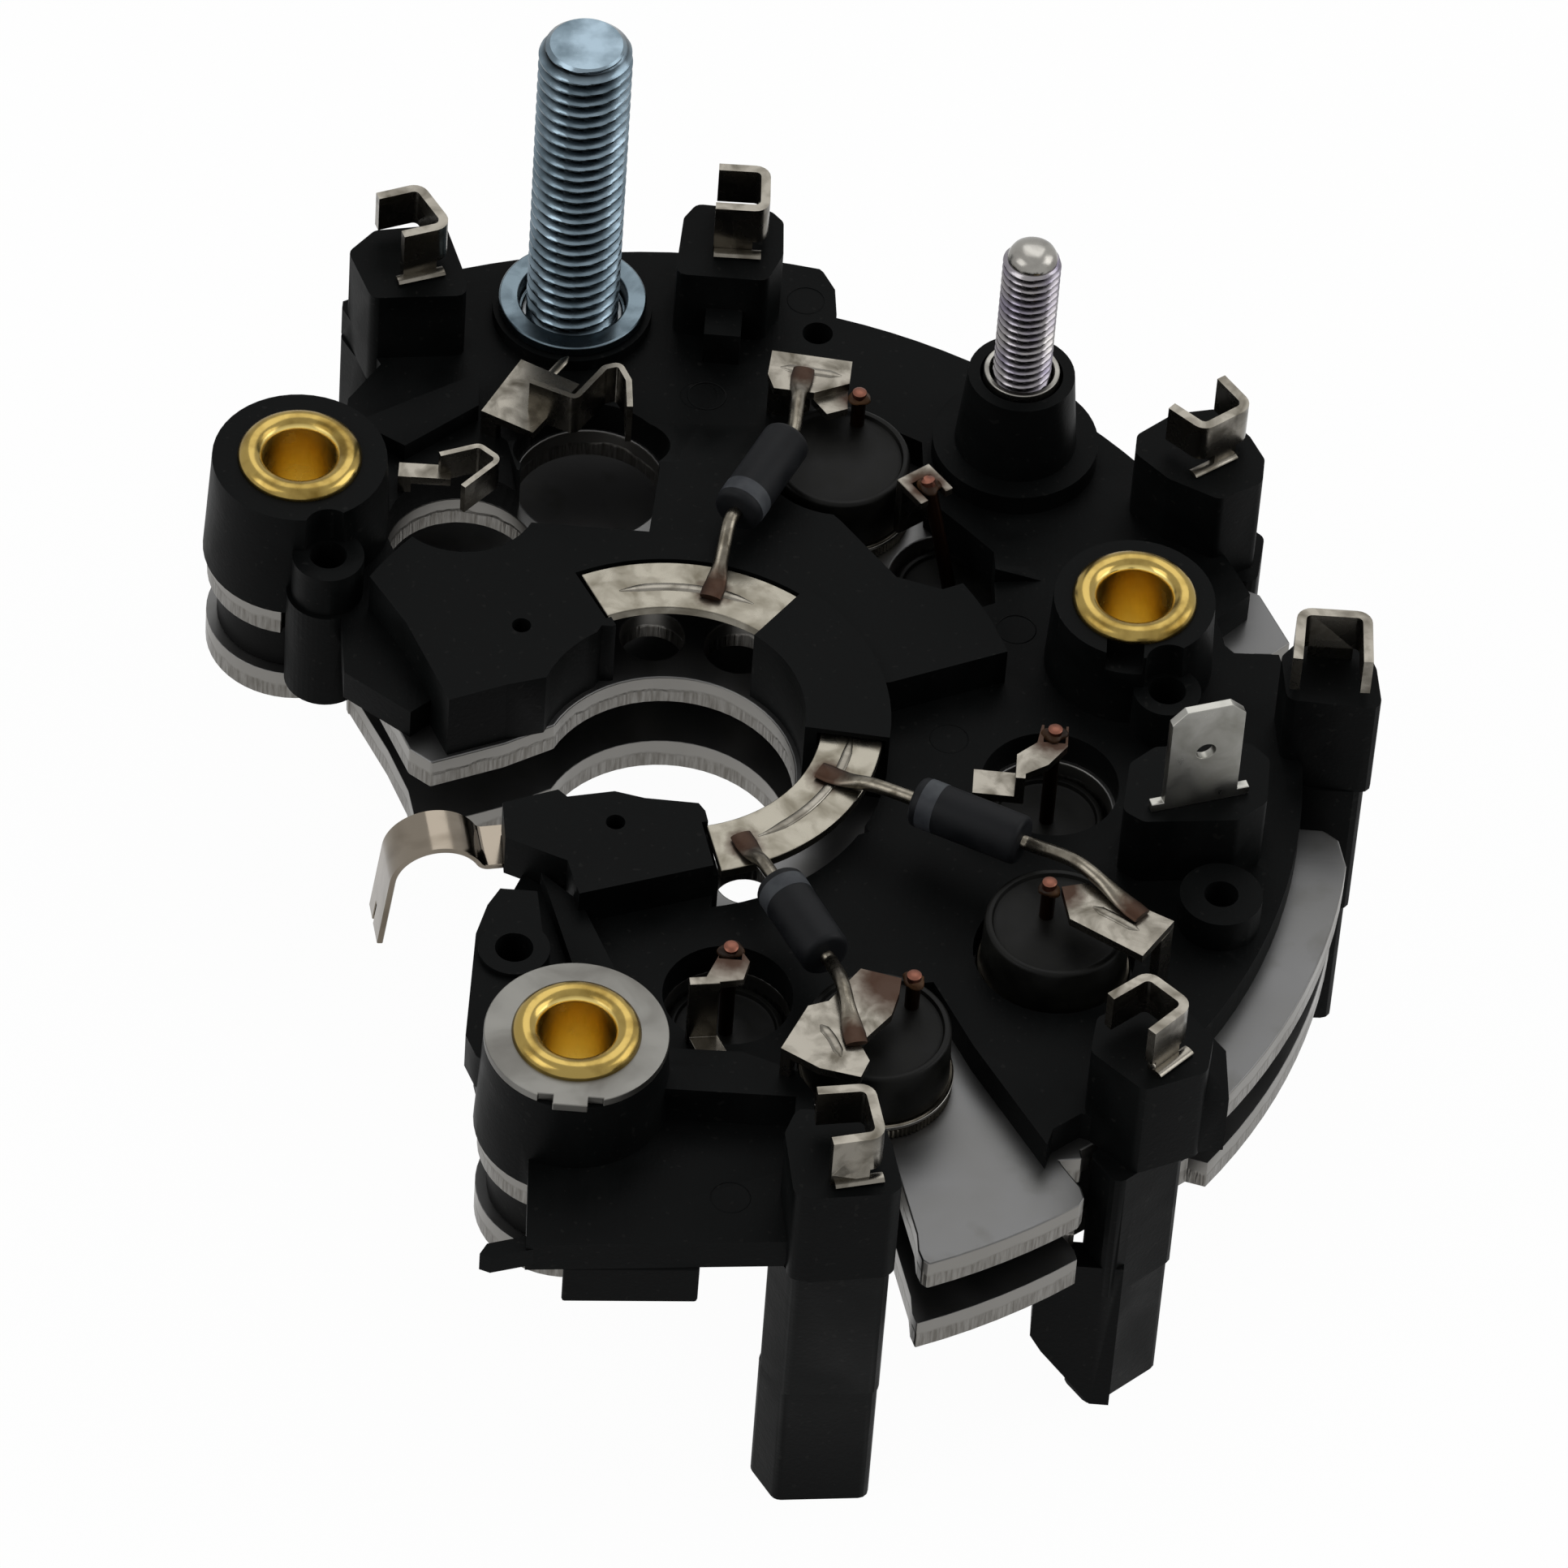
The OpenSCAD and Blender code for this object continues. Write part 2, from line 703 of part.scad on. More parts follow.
module hook_back_right() {
  hook(2, [[43.4, 35.4], [45.8, 32.4], [42.2, 29.4], [39.4, 31.6]], [[44.8, 31.57], [43.1, 30.15]]);
}

module hook_right() {
  hook(3, [[50.7, 3.8], [50.9, 9.2], [56.3, 9.3], [56.5, 4]], [[51.7, 9.21], [55.4, 9.28]]);
}

module hook_front_right() {
  hook(4, [[36.8, -34.6], [39.7, -32], [43, -34.8], [40.2, -38]], [[42.3, -35.6], [40.5, -37.66]]);
}

module hook_front() {
  hook(5, [[14.1, -46.9], [18.2, -46.1], [19.4, -50.9], [15.6, -52]], [[18.6, -51.13], [15.6, -52]]);
}

// tinned pads over the diodes, each on a leg that stands on the carrier
module pad(plan, leg, z0) {
  color("silver") {
    slab(padBase, padBase + stripThick)
      polygon(plan);
    slab(z0, padBase + eps)
      polygon(leg);
  }
}

module pad_back() {
  color("silver")
    slab(padBase - stripThick, padBase + eps)
      polygon([[9.4, 35.4], [12.4, 36.8], [12.5, 34.4], [10.8, 33.6]]);
  pad(
    [[5.8, 39.8], [12.6, 39.2], [12.5, 36.6], [9.6, 35.2], [6.2, 35.4], [5.6, 37]],
    [[5.8, 39.8], [9.4, 39.5], [9.3, 38.7], [5.7, 39]],
    lowTop
  );
}

module pad_right() {
  pad(
    [[32.6, -18.4], [34.6, -17.8], [41.8, -21.2], [39.4, -25.2], [33.4, -21.8]],
    [[41.8, -21.2], [41.4, -21.9], [40.9, -22.75], [40.2, -22.3], [41.1, -20.87]],
    lowTop
  );
}

module pad_front() {
  color("silver")
    slab(padBase, padBase + stripThick)
      polygon([[14, -33.4], [16.9, -28.9], [20.2, -29.6], [20.1, -31.2], [19.6, -33.6], [17, -37.2]]);
  pad(
    [[11, -38], [12.9, -33.3], [15, -32.4], [18.1, -38.6], [17.5, -40.4], [14.2, -39.8]],
    [[11, -38], [11.4, -37], [12.2, -37.3], [11.8, -38.3]],
    highTop
  );
}

module pad_spare() {
  z = 15.6;
  color("silver") {
    slab(z, z + stripThick)
      polygon([[-15.3, 40.6], [-10.2, 38.2], [-13.7, 32.1], [-18.2, 34.2]]);
    slab(lowTop, z + eps)
      polygon([[-18.2, 34.2], [-17.84, 34.93], [-16.5, 34.3], [-16.86, 33.57]]);
    // empty lead clip
    slab(z, padBase)
      polygon(ribbon(bend([[-14.2, 34.8], [-10.3, 33.3], [-8.1, 37.1], [-6.9, 37.6], [-6, 35.8], [-5.7, 32.7]], 0.5), 0.5));
  }
}

module loop_spare() {
  root = [-24.6, 27.4];
  color("silver") {
    slab(hairpinBase, hairpinTop)
      polygon(ribbon(bend([[-21.2, 27.4], [-18, 28.8], [-16.2, 27.4], [-19, 23.9]], 0.6), 0.5));
    slab(lowTop, hairpinBase + stripThick)
      polygon(ribbon([root, root + [1.1, 0]], 1.6));
    slab(hairpinBase, hairpinBase + stripThick)
      polygon(ribbon([root, [-20.2, 27.5]], 1.6));
  }
}

module fork(at, turn, z0) {
  color("silver")
    translate([at[0], at[1], 0])
      rotate([0, 0, turn]) {
        slab(z0, padBase)
          translate([-1.7, 1.2])
            square([3.4, stripThick]);
        slab(padBase - stripThick, padBase)
          difference() {
            translate([-1.7, -1.4])
              square([3.4, 2.8]);
            translate([-leadRadius - fit, -3])
              square([2 * (leadRadius + fit), 3 + leadRadius + fit]);
          }
      }
}

module fork_back() {
  fork(negBackTip, 40, lowTop);
}

// strip from the deck that steps up twice to a two-pronged clip
module fork_right() {
  step = highTop;
  color("silver") {
    slab(lowTop, step)
      polygon([[25, -6], [25.8, -6], [25.8, -3.4], [25, -3.4]]);
    slab(step - stripThick, step)
      polygon([[25, -6], [29.2, -6.1], [29.2, -3.5], [25, -3.4]]);
    slab(step - stripThick, padBase)
      polygon([[28.4, -6.1], [29.2, -6.1], [29.2, -3.5], [28.4, -3.5]]);
    slab(padBase - stripThick, padBase)
      difference() {
        polygon([[28.4, -6.1], [31, -4.4], [32.5, -2.2], [32.5, 0], [30.3, 0], [30, -2], [28.4, -3.5]]);
        translate([negRight[0] - leadRadius - fit, negRight[1] - leadRadius - fit])
          square([2 * (leadRadius + fit), 4]);
      }
  }
}

// foot on the deck, an upright wall and a small hook at the lead
module fork_front() {
  wallTop = 21;
  color("silver") {
    slab(lowTop, lowTop + stripThick)
      polygon([[3.4, -32], [4.9, -35.2], [7.1, -34.3], [5.7, -31.6]]);
    slab(lowTop, wallTop)
      polygon(ribbon([[3.3, -32], [5.7, -31.6]], stripThick));
    slab(wallTop - stripThick, wallTop)
      difference() {
        polygon([[4.7, -32.1], [7.6, -31.4], [8, -29.4], [7.2, -28.2], [5.6, -28.6], [4.6, -31.4]]);
        translate([negFrontTip[0] - leadRadius - fit, negFrontTip[1] - leadRadius - fit])
          square([2 * (leadRadius + fit), 3]);
      }
  }
}

// power diodes

module diodeCup(p, seat) {
  color("lightgray") {
    rod(p, seatRadius, seat, seat + cupTop);
    rod(p, bodyRadius - fit, seat - plateThick, seat + eps);
  }
}

module diodeBody(p, seat, r) {
  color("black")
    difference() {
      translate([p[0], p[1], seat + cupTop])
        cylinder(r1 = r, r2 = r - 0.15, h = bodyRise - cupTop);
      translate([p[0], p[1], seat + bodyRise - 0.4])
        cylinder(r = r - 0.6, h = 1);
    }
}

// straight lead between two points, or between two heights over one point
module diodeLead(at, z0, z1, tip = undef) {
  end = tip == undef ? at : tip;
  lean = norm(end - at) / norm([end[0] - at[0], end[1] - at[1], z1 - z0]);
  color("peru")
    wire([at[0], at[1], z0 + leadRadius * lean], [end[0], end[1], z1]);
}

// exciter diodes

module smallBody(a, b) {
  d = b - a;
  color("black")
    translate(a)
      rotate([0, acos(d[2] / norm(d)), atan2(d[1], d[0])])
        cylinder(r = smallRadius, h = norm(d));
}

module wire(a, b, r = leadRadius) {
  d = b - a;
  translate(a)
    rotate([0, acos(d[2] / norm(d)), atan2(d[1], d[0])])
      cylinder(r = r, h = norm(d), $fn = 32);
}

// one lead: from the body end to a flattened foot on its strip, over the strip's edge where that is higher
module smallLead(from, out, at, z) {
  foot = [at[0], at[1], z + leadRadius + 0.05];
  way = foot - from;
  turn = atan2(way[1], way[0]);
  if (way[2] > 0.8) {
    stub = from + out;
    knee = [stub[0] + 1.9 * cos(turn), stub[1] + 1.9 * sin(turn), foot[2] + 0.1];
    climb = (knee - stub) / norm(knee - stub);
    wire(from, stub);
    // slightly swollen at its two bends
    wire(stub - 0.4 * climb, knee + 0.4 * climb, leadRadius + 0.06);
    wire(knee, foot);
  } else {
    lean = norm(cross(way, out)) / norm(way);
    wire(from + leadRadius * lean * out, foot);
  }
  translate([at[0], at[1], z])
    rotate([0, 0, turn])
      translate([-1.2, -0.8, 0])
        cube([2.6, 1.6, 0.7]);
}

backA = [3.9, 20.6, 20.6];
backB = [7.7, 29.2, 20.9];
rightA = [20.5, -8.7, 19];
rightB = [29.3, -12.7, 19.4];
frontA = [9.8, -19.1, 19];
frontB = [14.1, -26.8, 19.4];

module smallLeads(a, b, onRing, onPad) {
  axis = (b - a) / norm(b - a);
  color("silver") {
    smallLead(a, -axis, onRing, ringTop);
    smallLead(b, axis, onPad, padBase + stripThick);
  }
}

module front_insert() {
  color("dimgray")
    slab(6.6, upperTop)
      polygon([[-4.9, -51], [5.9, -50], [5.9, -53.3], [-4.9, -54.3]]);
}

heat_sink_upper();
heat_sink_lower();
carrier();
spacer(eyeletLeft);  // spacer_left
spacer(eyeletRight);  // spacer_right
spacer(eyeletFront);  // spacer_front
eyelet(eyeletLeft);  // eyelet_left
eyelet(eyeletRight);  // eyelet_right
eyelet(eyeletFront);  // eyelet_front
washer_front();
charge_stud();
charge_collar();
lamp_stud();
lamp_collar();
blade_terminal();
exciter_ring();
contact_spring();
hook_back_left();
hook_back();
hook_back_right();
hook_right();
hook_front_right();
hook_front();
pad_back();
pad_right();
pad_front();
pad_spare();
loop_spare();
fork_back();
fork_right();
fork_front();
diodeCup(posBack, upperTop);  // pos_cup_back
diodeCup(posRight, upperTop);  // pos_cup_right
diodeCup(posFront, upperTop);  // pos_cup_front
diodeBody(posBack, upperTop, bodyRadius);  // pos_body_back
diodeBody(posRight, upperTop, bodyRadius);  // pos_body_right
diodeBody(posFront, upperTop, bodyRadius);  // pos_body_front
diodeLead([13.4, 35.4], upperTop + bodyRise - 0.4, 21);  // pos_lead_back
diodeLead([31.6, -18.6], upperTop + bodyRise - 0.4, 21.4);  // pos_lead_right
diodeLead([21.2, -29.4], upperTop + bodyRise - 0.4, 21);  // pos_lead_front
diodeCup(negBack, lowerTop);  // neg_cup_back
diodeCup(negRight, lowerTop);  // neg_cup_right
diodeCup(negFront, lowerTop);  // neg_cup_front
diodeBody(negBack, lowerTop, 4.9);  // neg_body_back
diodeBody(negRight, lowerTop, 4.9);  // neg_body_right
diodeBody(negFront, lowerTop, 4.9);  // neg_body_front
diodeLead(negBack, lowerTop + bodyRise - 0.4, 20.6, negBackTip);  // neg_lead_back
diodeLead(negRight, lowerTop + bodyRise - 0.4, 20.6);  // neg_lead_right
diodeLead(negFront, lowerTop + bodyRise - 0.4, 21.6, negFrontTip);  // neg_lead_front
smallBody(backA, backB);  // small_diode_back
smallBody(rightA, rightB);  // small_diode_right
smallBody(frontA, frontB);  // small_diode_front
smallLeads(backA, backB, [2.4, 13.6], [8.6, 36.8]);  // small_leads_back
smallLeads(rightA, rightB, [12.8, -5.2], [38.4, -20.6]);  // small_leads_right
smallLeads(frontA, frontB, [6.6, -13.2], [16.6, -36]);  // small_leads_front
front_insert();
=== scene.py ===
import math
import bmesh
import bpy
from mathutils import Matrix, Vector


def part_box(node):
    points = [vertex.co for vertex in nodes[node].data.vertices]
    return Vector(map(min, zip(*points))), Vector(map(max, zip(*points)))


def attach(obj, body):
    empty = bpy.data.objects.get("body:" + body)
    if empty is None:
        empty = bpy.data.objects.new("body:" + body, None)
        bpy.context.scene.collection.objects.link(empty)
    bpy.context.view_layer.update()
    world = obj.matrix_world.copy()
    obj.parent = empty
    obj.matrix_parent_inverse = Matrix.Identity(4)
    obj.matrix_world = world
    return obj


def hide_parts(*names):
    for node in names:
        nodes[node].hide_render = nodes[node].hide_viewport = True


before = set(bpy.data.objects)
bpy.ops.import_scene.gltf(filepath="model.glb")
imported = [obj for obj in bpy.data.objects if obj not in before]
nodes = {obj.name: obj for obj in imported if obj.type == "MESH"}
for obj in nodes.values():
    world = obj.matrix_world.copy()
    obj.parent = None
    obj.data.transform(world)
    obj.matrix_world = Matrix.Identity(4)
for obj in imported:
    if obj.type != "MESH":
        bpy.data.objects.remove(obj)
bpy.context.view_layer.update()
mm = 0.001
print("frame loaded:", len(nodes), "nodes")


# small helpers

def linear(code):
    # sRGB hex to the linear colour that the shaders want
    values = [int(code[i:i + 2], 16) / 255 for i in (1, 3, 5)]
    return tuple(v / 12.92 if v <= 0.04045 else ((v + 0.055) / 1.055) ** 2.4 for v in values) + (1,)


def add(tree, kind, sockets=None, **settings):
    # adds one node; a socket value is either a number, a colour or another node's output
    made = tree.nodes.new(kind)
    for key, value in settings.items():
        setattr(made, key, value)
    for key, value in (sockets or {}).items():
        if isinstance(value, bpy.types.NodeSocket):
            tree.links.new(value, made.inputs[key])
        else:
            made.inputs[key].default_value = value
    return made


def meshObject(name, verts, faces, material, scale=mm):
    # builds a closed mesh in millimetres, with its doubles merged and its faces turned outwards
    mesh = bpy.data.meshes.new(name)
    mesh.from_pydata([Vector(v) * scale for v in verts], [], faces)
    bm = bmesh.new()
    bm.from_mesh(mesh)
    bmesh.ops.remove_doubles(bm, verts=bm.verts, dist=1e-7)
    bmesh.ops.recalc_face_normals(bm, faces=bm.faces)
    bm.to_mesh(mesh)
    bm.free()
    mesh.materials.append(material)
    made = bpy.data.objects.new(name, mesh)
    bpy.context.scene.collection.objects.link(made)
    return made


def smoothed(piece, angle=40):
    mesh = piece.data
    mesh.polygons.foreach_set("use_smooth", [True] * len(mesh.polygons))
    mesh.set_sharp_from_angle(angle=math.radians(angle))
    return piece


def baked(piece):
    # the modifiers' result becomes the piece's own plain mesh
    graph = bpy.context.evaluated_depsgraph_get()
    mesh = bpy.data.meshes.new_from_object(piece.evaluated_get(graph), preserve_all_data_layers=True, depsgraph=graph)
    piece.modifiers.clear()
    piece.data = mesh
    mesh.name = piece.name
    return piece


def placed(piece, slot, *replaced):
    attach(piece, "root")
    if replaced:
        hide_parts(*replaced)
    return piece


def softened(node, name, width, material, slot, segments=2, angle=28):
    # a copy of a fixed node with its sharp edges rounded, as a die or a mould leaves them
    mesh = nodes[node].data.copy()
    bm = bmesh.new()
    bm.from_mesh(mesh)
    bmesh.ops.remove_doubles(bm, verts=bm.verts, dist=3e-6)
    bmesh.ops.dissolve_limit(bm, angle_limit=math.radians(0.6), verts=bm.verts, edges=bm.edges)
    bm.to_mesh(mesh)
    bm.free()
    mesh.name = name
    mesh.materials.clear()
    mesh.materials.append(material)
    made = bpy.data.objects.new(name, mesh)
    bpy.context.scene.collection.objects.link(made)
    mesh.polygons.foreach_set("use_smooth", [True] * len(mesh.polygons))
    mesh.set_sharp_from_angle(angle=math.radians(angle))
    soft = made.modifiers.new("Soft edges", "BEVEL")
    soft.width = width * mm
    soft.segments = segments
    soft.limit_method = "ANGLE"
    soft.angle_limit = math.radians(angle)
    soft.use_clamp_overlap = True
    soft.harden_normals = True
    return placed(baked(made), slot, node)


def lathe(name, profile, at, material, segments=72, axis=(0, 0, 1), closed=False):
    # turns (radius, height) points round an axis through at
    turn = Vector((0, 0, 1)).rotation_difference(Vector(axis).normalized()).to_matrix()
    verts, rows = [], []
    for radius, height in profile:
        if radius < 1e-6:
            rows.append([len(verts)])
            verts.append(turn @ Vector((0, 0, height)) + Vector(at))
            continue
        rows.append(list(range(len(verts), len(verts) + segments)))
        for k in range(segments):
            a = 2 * math.pi * k / segments
            verts.append(turn @ Vector((radius * math.cos(a), radius * math.sin(a), height)) + Vector(at))
    faces = []
    pairs = list(zip(rows, rows[1:])) + ([(rows[-1], rows[0])] if closed else [])
    for low, high in pairs:
        for k in range(segments):
            n = (k + 1) % segments
            if len(low) == 1 and len(high) > 1:
                faces.append((low[0], high[n], high[k]))
            elif len(high) == 1 and len(low) > 1:
                faces.append((low[k], low[n], high[0]))
            elif len(low) > 1:
                faces.append((low[k], low[n], high[n], high[k]))
    return smoothed(meshObject(name, verts, faces, material))


def curveThrough(points, steps=8):
    # smooth line through the points, ends included
    p = [Vector(q) for q in points]
    p = [p[0] * 2 - p[1]] + p + [p[-1] * 2 - p[-2]]
    line = []
    for i in range(1, len(p) - 2):
        for k in range(steps):
            t = k / steps
            line.append(0.5 * (2 * p[i] + (p[i + 1] - p[i - 1]) * t
                               + (2 * p[i - 1] - 5 * p[i] + 4 * p[i + 1] - p[i + 2]) * t * t
                               + (3 * p[i] - p[i - 1] - 3 * p[i + 1] + p[i + 2]) * t ** 3))
    return line + [p[-2]]


def sweep(name, line, sizes, material, sides=16, up=(0, 0, 1)):
    # a bar along a line; sizes gives the half width and half thickness at even steps along it
    verts, faces, rows = [], [], []
    count = len(line)
    for i, centre in enumerate(line):
        along = (line[min(i + 1, count - 1)] - line[max(i - 1, 0)]).normalized()
        side = along.cross(Vector(up))
        side = side.normalized() if side.length > 0.05 else Vector((1, 0, 0))
        over = side.cross(along).normalized()
        place = i / (count - 1) * (len(sizes) - 1)
        k = min(int(place), len(sizes) - 2)
        wide = sizes[k][0] + (sizes[k + 1][0] - sizes[k][0]) * (place - k)
        tall = sizes[k][1] + (sizes[k + 1][1] - sizes[k][1]) * (place - k)
        rows.append(range(len(verts), len(verts) + sides))
        for s in range(sides):
            a = 2 * math.pi * s / sides
            verts.append(centre + side * wide * math.cos(a) + over * tall * math.sin(a))
    for low, high in zip(rows, rows[1:]):
        faces += [(low[s], low[(s + 1) % sides], high[(s + 1) % sides], high[s]) for s in range(sides)]
    faces += [tuple(reversed(rows[0])), tuple(rows[-1])]
    return smoothed(meshObject(name, verts, faces, material))


# camera at the photograph's viewing angle

view = {
    "pitch": 47.4,          # degrees down
    "roll": 4.43,
    "distance": 0.9534,     # from the lens to the level of the shaft axis
    "focalLength": 14130 / 1932 * 36,
    "originAt": (816.1, 1057.4),  # where the origin falls in the 1932 wide frame
}
pitch, roll = math.radians(view["pitch"]), math.radians(view["roll"])
forward = Vector((0, math.cos(pitch), -math.sin(pitch)))
levelUp = Vector((0, math.sin(pitch), math.cos(pitch)))
right = math.cos(roll) * Vector((1, 0, 0)) + math.sin(roll) * levelUp
upward = -math.sin(roll) * Vector((1, 0, 0)) + math.cos(roll) * levelUp
perPixel = view["distance"] / (view["focalLength"] / 36 * 1932)
shiftX = (view["originAt"][0] - 966) * perPixel
shiftY = -(view["originAt"][1] - 966) * perPixel
cameraData = bpy.data.cameras.new("camera")
cameraData.lens = view["focalLength"]
cameraData.sensor_width = 36
cameraData.clip_start = 0.05
cameraData.clip_end = 20
camera = bpy.data.objects.new("camera", cameraData)
bpy.context.scene.collection.objects.link(camera)
bpy.context.scene.camera = camera
turned = Matrix((right, upward, -forward)).transposed().to_4x4()
camera.matrix_world = Matrix.Translation(-(shiftX * right + shiftY * upward + view["distance"] * forward)) @ turned

# soft studio: white all round for the lens and for reflections, side and top lamps

studio = {
    "worldLevel": 0.3,      # what the surroundings give to matt surfaces
    "floorShadow": 0.03,     # how much of the shadow the white floor keeps
    "lamps": [               # place, size in metres, power in watts
        ((-0.55, -0.25, 0.55), 0.5, 1.8),
        ((0.65, 0.1, 0.45), 0.5, 2.2),
        ((0.05, 0.5, 0.75), 0.6, 1.8),
    ],
}
world = bpy.data.worlds.new("studio")
bpy.context.scene.world = world
world.use_nodes = True
tree = world.node_tree
tree.nodes.clear()
rays = add(tree, "ShaderNodeLightPath")
seen = add(tree, "ShaderNodeMath", {0: rays.outputs["Is Camera Ray"], 1: rays.outputs["Is Glossy Ray"]}, operation="MAXIMUM")
seen = add(tree, "ShaderNodeMath", {0: seen.outputs[0], 1: rays.outputs["Is Transmission Ray"]}, operation="MAXIMUM")
fill = add(tree, "ShaderNodeBackground", {"Color": linear("#ffffff"), "Strength": studio["worldLevel"]})
white = add(tree, "ShaderNodeBackground", {"Color": linear("#ffffff"), "Strength": 1.0})
mixed = add(tree, "ShaderNodeMixShader", {0: seen.outputs[0], 1: fill.outputs[0], 2: white.outputs[0]})
add(tree, "ShaderNodeOutputWorld", {0: mixed.outputs[0]})

for number, (place, size, power) in enumerate(studio["lamps"]):
    lampData = bpy.data.lights.new("softbox%d" % number, "AREA")
    lampData.size = size
    lampData.energy = power
    lamp = bpy.data.objects.new("softbox%d" % number, lampData)
    lamp.location = place
    lamp.rotation_mode = "QUATERNION"
    lamp.rotation_quaternion = (Vector(place) - Vector((0.01, 0, 0))).to_track_quat("Z", "Y")
    bpy.context.scene.collection.objects.link(lamp)

# white floor under the legs
floorMaterial = bpy.data.materials.new("paleFloor")
floorMaterial.use_nodes = True
tree = floorMaterial.node_tree
tree.nodes.clear()
rays = add(tree, "ShaderNodeLightPath")
seen = add(tree, "ShaderNodeMath", {0: rays.outputs["Is Camera Ray"], 1: rays.outputs["Is Glossy Ray"]}, operation="MAXIMUM")
share = add(tree, "ShaderNodeMath", {0: seen.outputs[0], 1: 1 - studio["floorShadow"]}, operation="MULTIPLY")
matt = add(tree, "ShaderNodeBsdfDiffuse", {"Color": linear("#f4f4f3")})
glow = add(tree, "ShaderNodeEmission", {"Color": linear("#ffffff"), "Strength": 1.0})
mixed = add(tree, "ShaderNodeMixShader", {0: share.outputs[0], 1: matt.outputs[0], 2: glow.outputs[0]})
add(tree, "ShaderNodeOutputMaterial", {0: mixed.outputs[0]})
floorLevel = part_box("carrier")[0].z / mm - 0.05
floor = meshObject("floor", [(-3000, -3000, floorLevel), (3000, -3000, floorLevel), (3000, 3000, floorLevel), (-3000, 3000, floorLevel)],
                   [(0, 1, 2, 3)], floorMaterial)
print("camera, lamps and floor ready")


# finishes

def newFinish(name):
    material = bpy.data.materials.new(name)
    material.use_nodes = True
    tree = material.node_tree
    return material, tree, tree.nodes["Principled BSDF"], add(tree, "ShaderNodeTexCoord").outputs["Object"]


def blended(tree, share, low, high):
    # colour between two others, by a share from 0 to 1
    made = add(tree, "ShaderNodeMix", {0: share}, data_type="RGBA")
    for socket, value in ((made.inputs[6], low), (made.inputs[7], high)):
        if isinstance(value, bpy.types.NodeSocket):
            tree.links.new(value, socket)
        else:
            socket.default_value = value
    return made.outputs[2]


def ranged(tree, value, fromLow, fromHigh, toLow, toHigh):
    return add(tree, "ShaderNodeMapRange", {0: value, 1: fromLow, 2: fromHigh, 3: toLow, 4: toHigh}).outputs[0]


def noise(tree, coords, size, detail=2.0, stretch=None, distortion=0.0):
    # size is that of one blotch in millimetres
    if stretch:
        coords = add(tree, "ShaderNodeMapping", {"Vector": coords, "Scale": stretch}).outputs[0]
    made = add(tree, "ShaderNodeTexNoise", {"Vector": coords, "Scale": 1 / (size * mm), "Detail": detail, "Distortion": distortion})
    return made.outputs["Fac"]


def bumped(tree, height, depth, strength=1.0):
    # depth is the relief in millimetres
    return add(tree, "ShaderNodeBump", {"Height": height, "Distance": depth * mm, "Strength": strength}).outputs[0]


def nearPoint(tree, coords, point, inner, outer):
    # 1 at the point, falling to 0 between the two radii, all in millimetres
    away = add(tree, "ShaderNodeVectorMath", {0: coords, 1: Vector(point) * mm}, operation="DISTANCE").outputs["Value"]
    return ranged(tree, away, inner * mm, outer * mm, 1.0, 0.0)


# glass-filled polyamide, injection moulded: matt black, faint flow marks, dust in the grain
plasticLook = {"dark": "#070808", "pale": "#0e0f0f", "dust": "#1b1b1a", "grain": 0.3, "cloud": 7.0}


def mouldedPolyamide(name, look):
    material, tree, shader, coords = newFinish(name)
    cloud = noise(tree, coords, look["cloud"], 4.0, distortion=0.6)
    grain = noise(tree, coords, look["grain"], 2.0)
    streak = noise(tree, coords, 0.5, 3.0, stretch=(1.0, 0.12, 1.0))
    specks = ranged(tree, noise(tree, coords, 0.55, 0.0), 0.76, 0.8, 0.0, 0.6)
    colour = blended(tree, ranged(tree, cloud, 0.35, 0.7, 0.0, 1.0), linear(look["dark"]), linear(look["pale"]))
    tree.links.new(blended(tree, specks, colour, linear(look["dust"])), shader.inputs["Base Color"])
    tree.links.new(ranged(tree, cloud, 0.3, 0.7, 0.4, 0.56), shader.inputs["Roughness"])
    height = add(tree, "ShaderNodeMath", {0: grain, 1: streak}, operation="ADD").outputs[0]
    tree.links.new(bumped(tree, height, 0.02, 0.7), shader.inputs["Normal"])
    shader.inputs["Specular IOR Level"].default_value = 0.03
    shader.inputs["IOR"].default_value = 1.53
    return material


carrierPlastic = mouldedPolyamide("glassFilledPolyamide", plasticLook)
spacerPlastic = mouldedPolyamide("spacerPolyamide", {**plasticLook, "dark": "#0a0a0a", "pale": "#131313"})

# rolled aluminium, blanked: satin faces with rolling lines, sheared and torn edges
aluminiumLook = {"face": "#575757", "pale": "#686764", "stain": "#454441", "sheared": "#7b7975", "torn": "#5e5b56", "rough": 0.36}


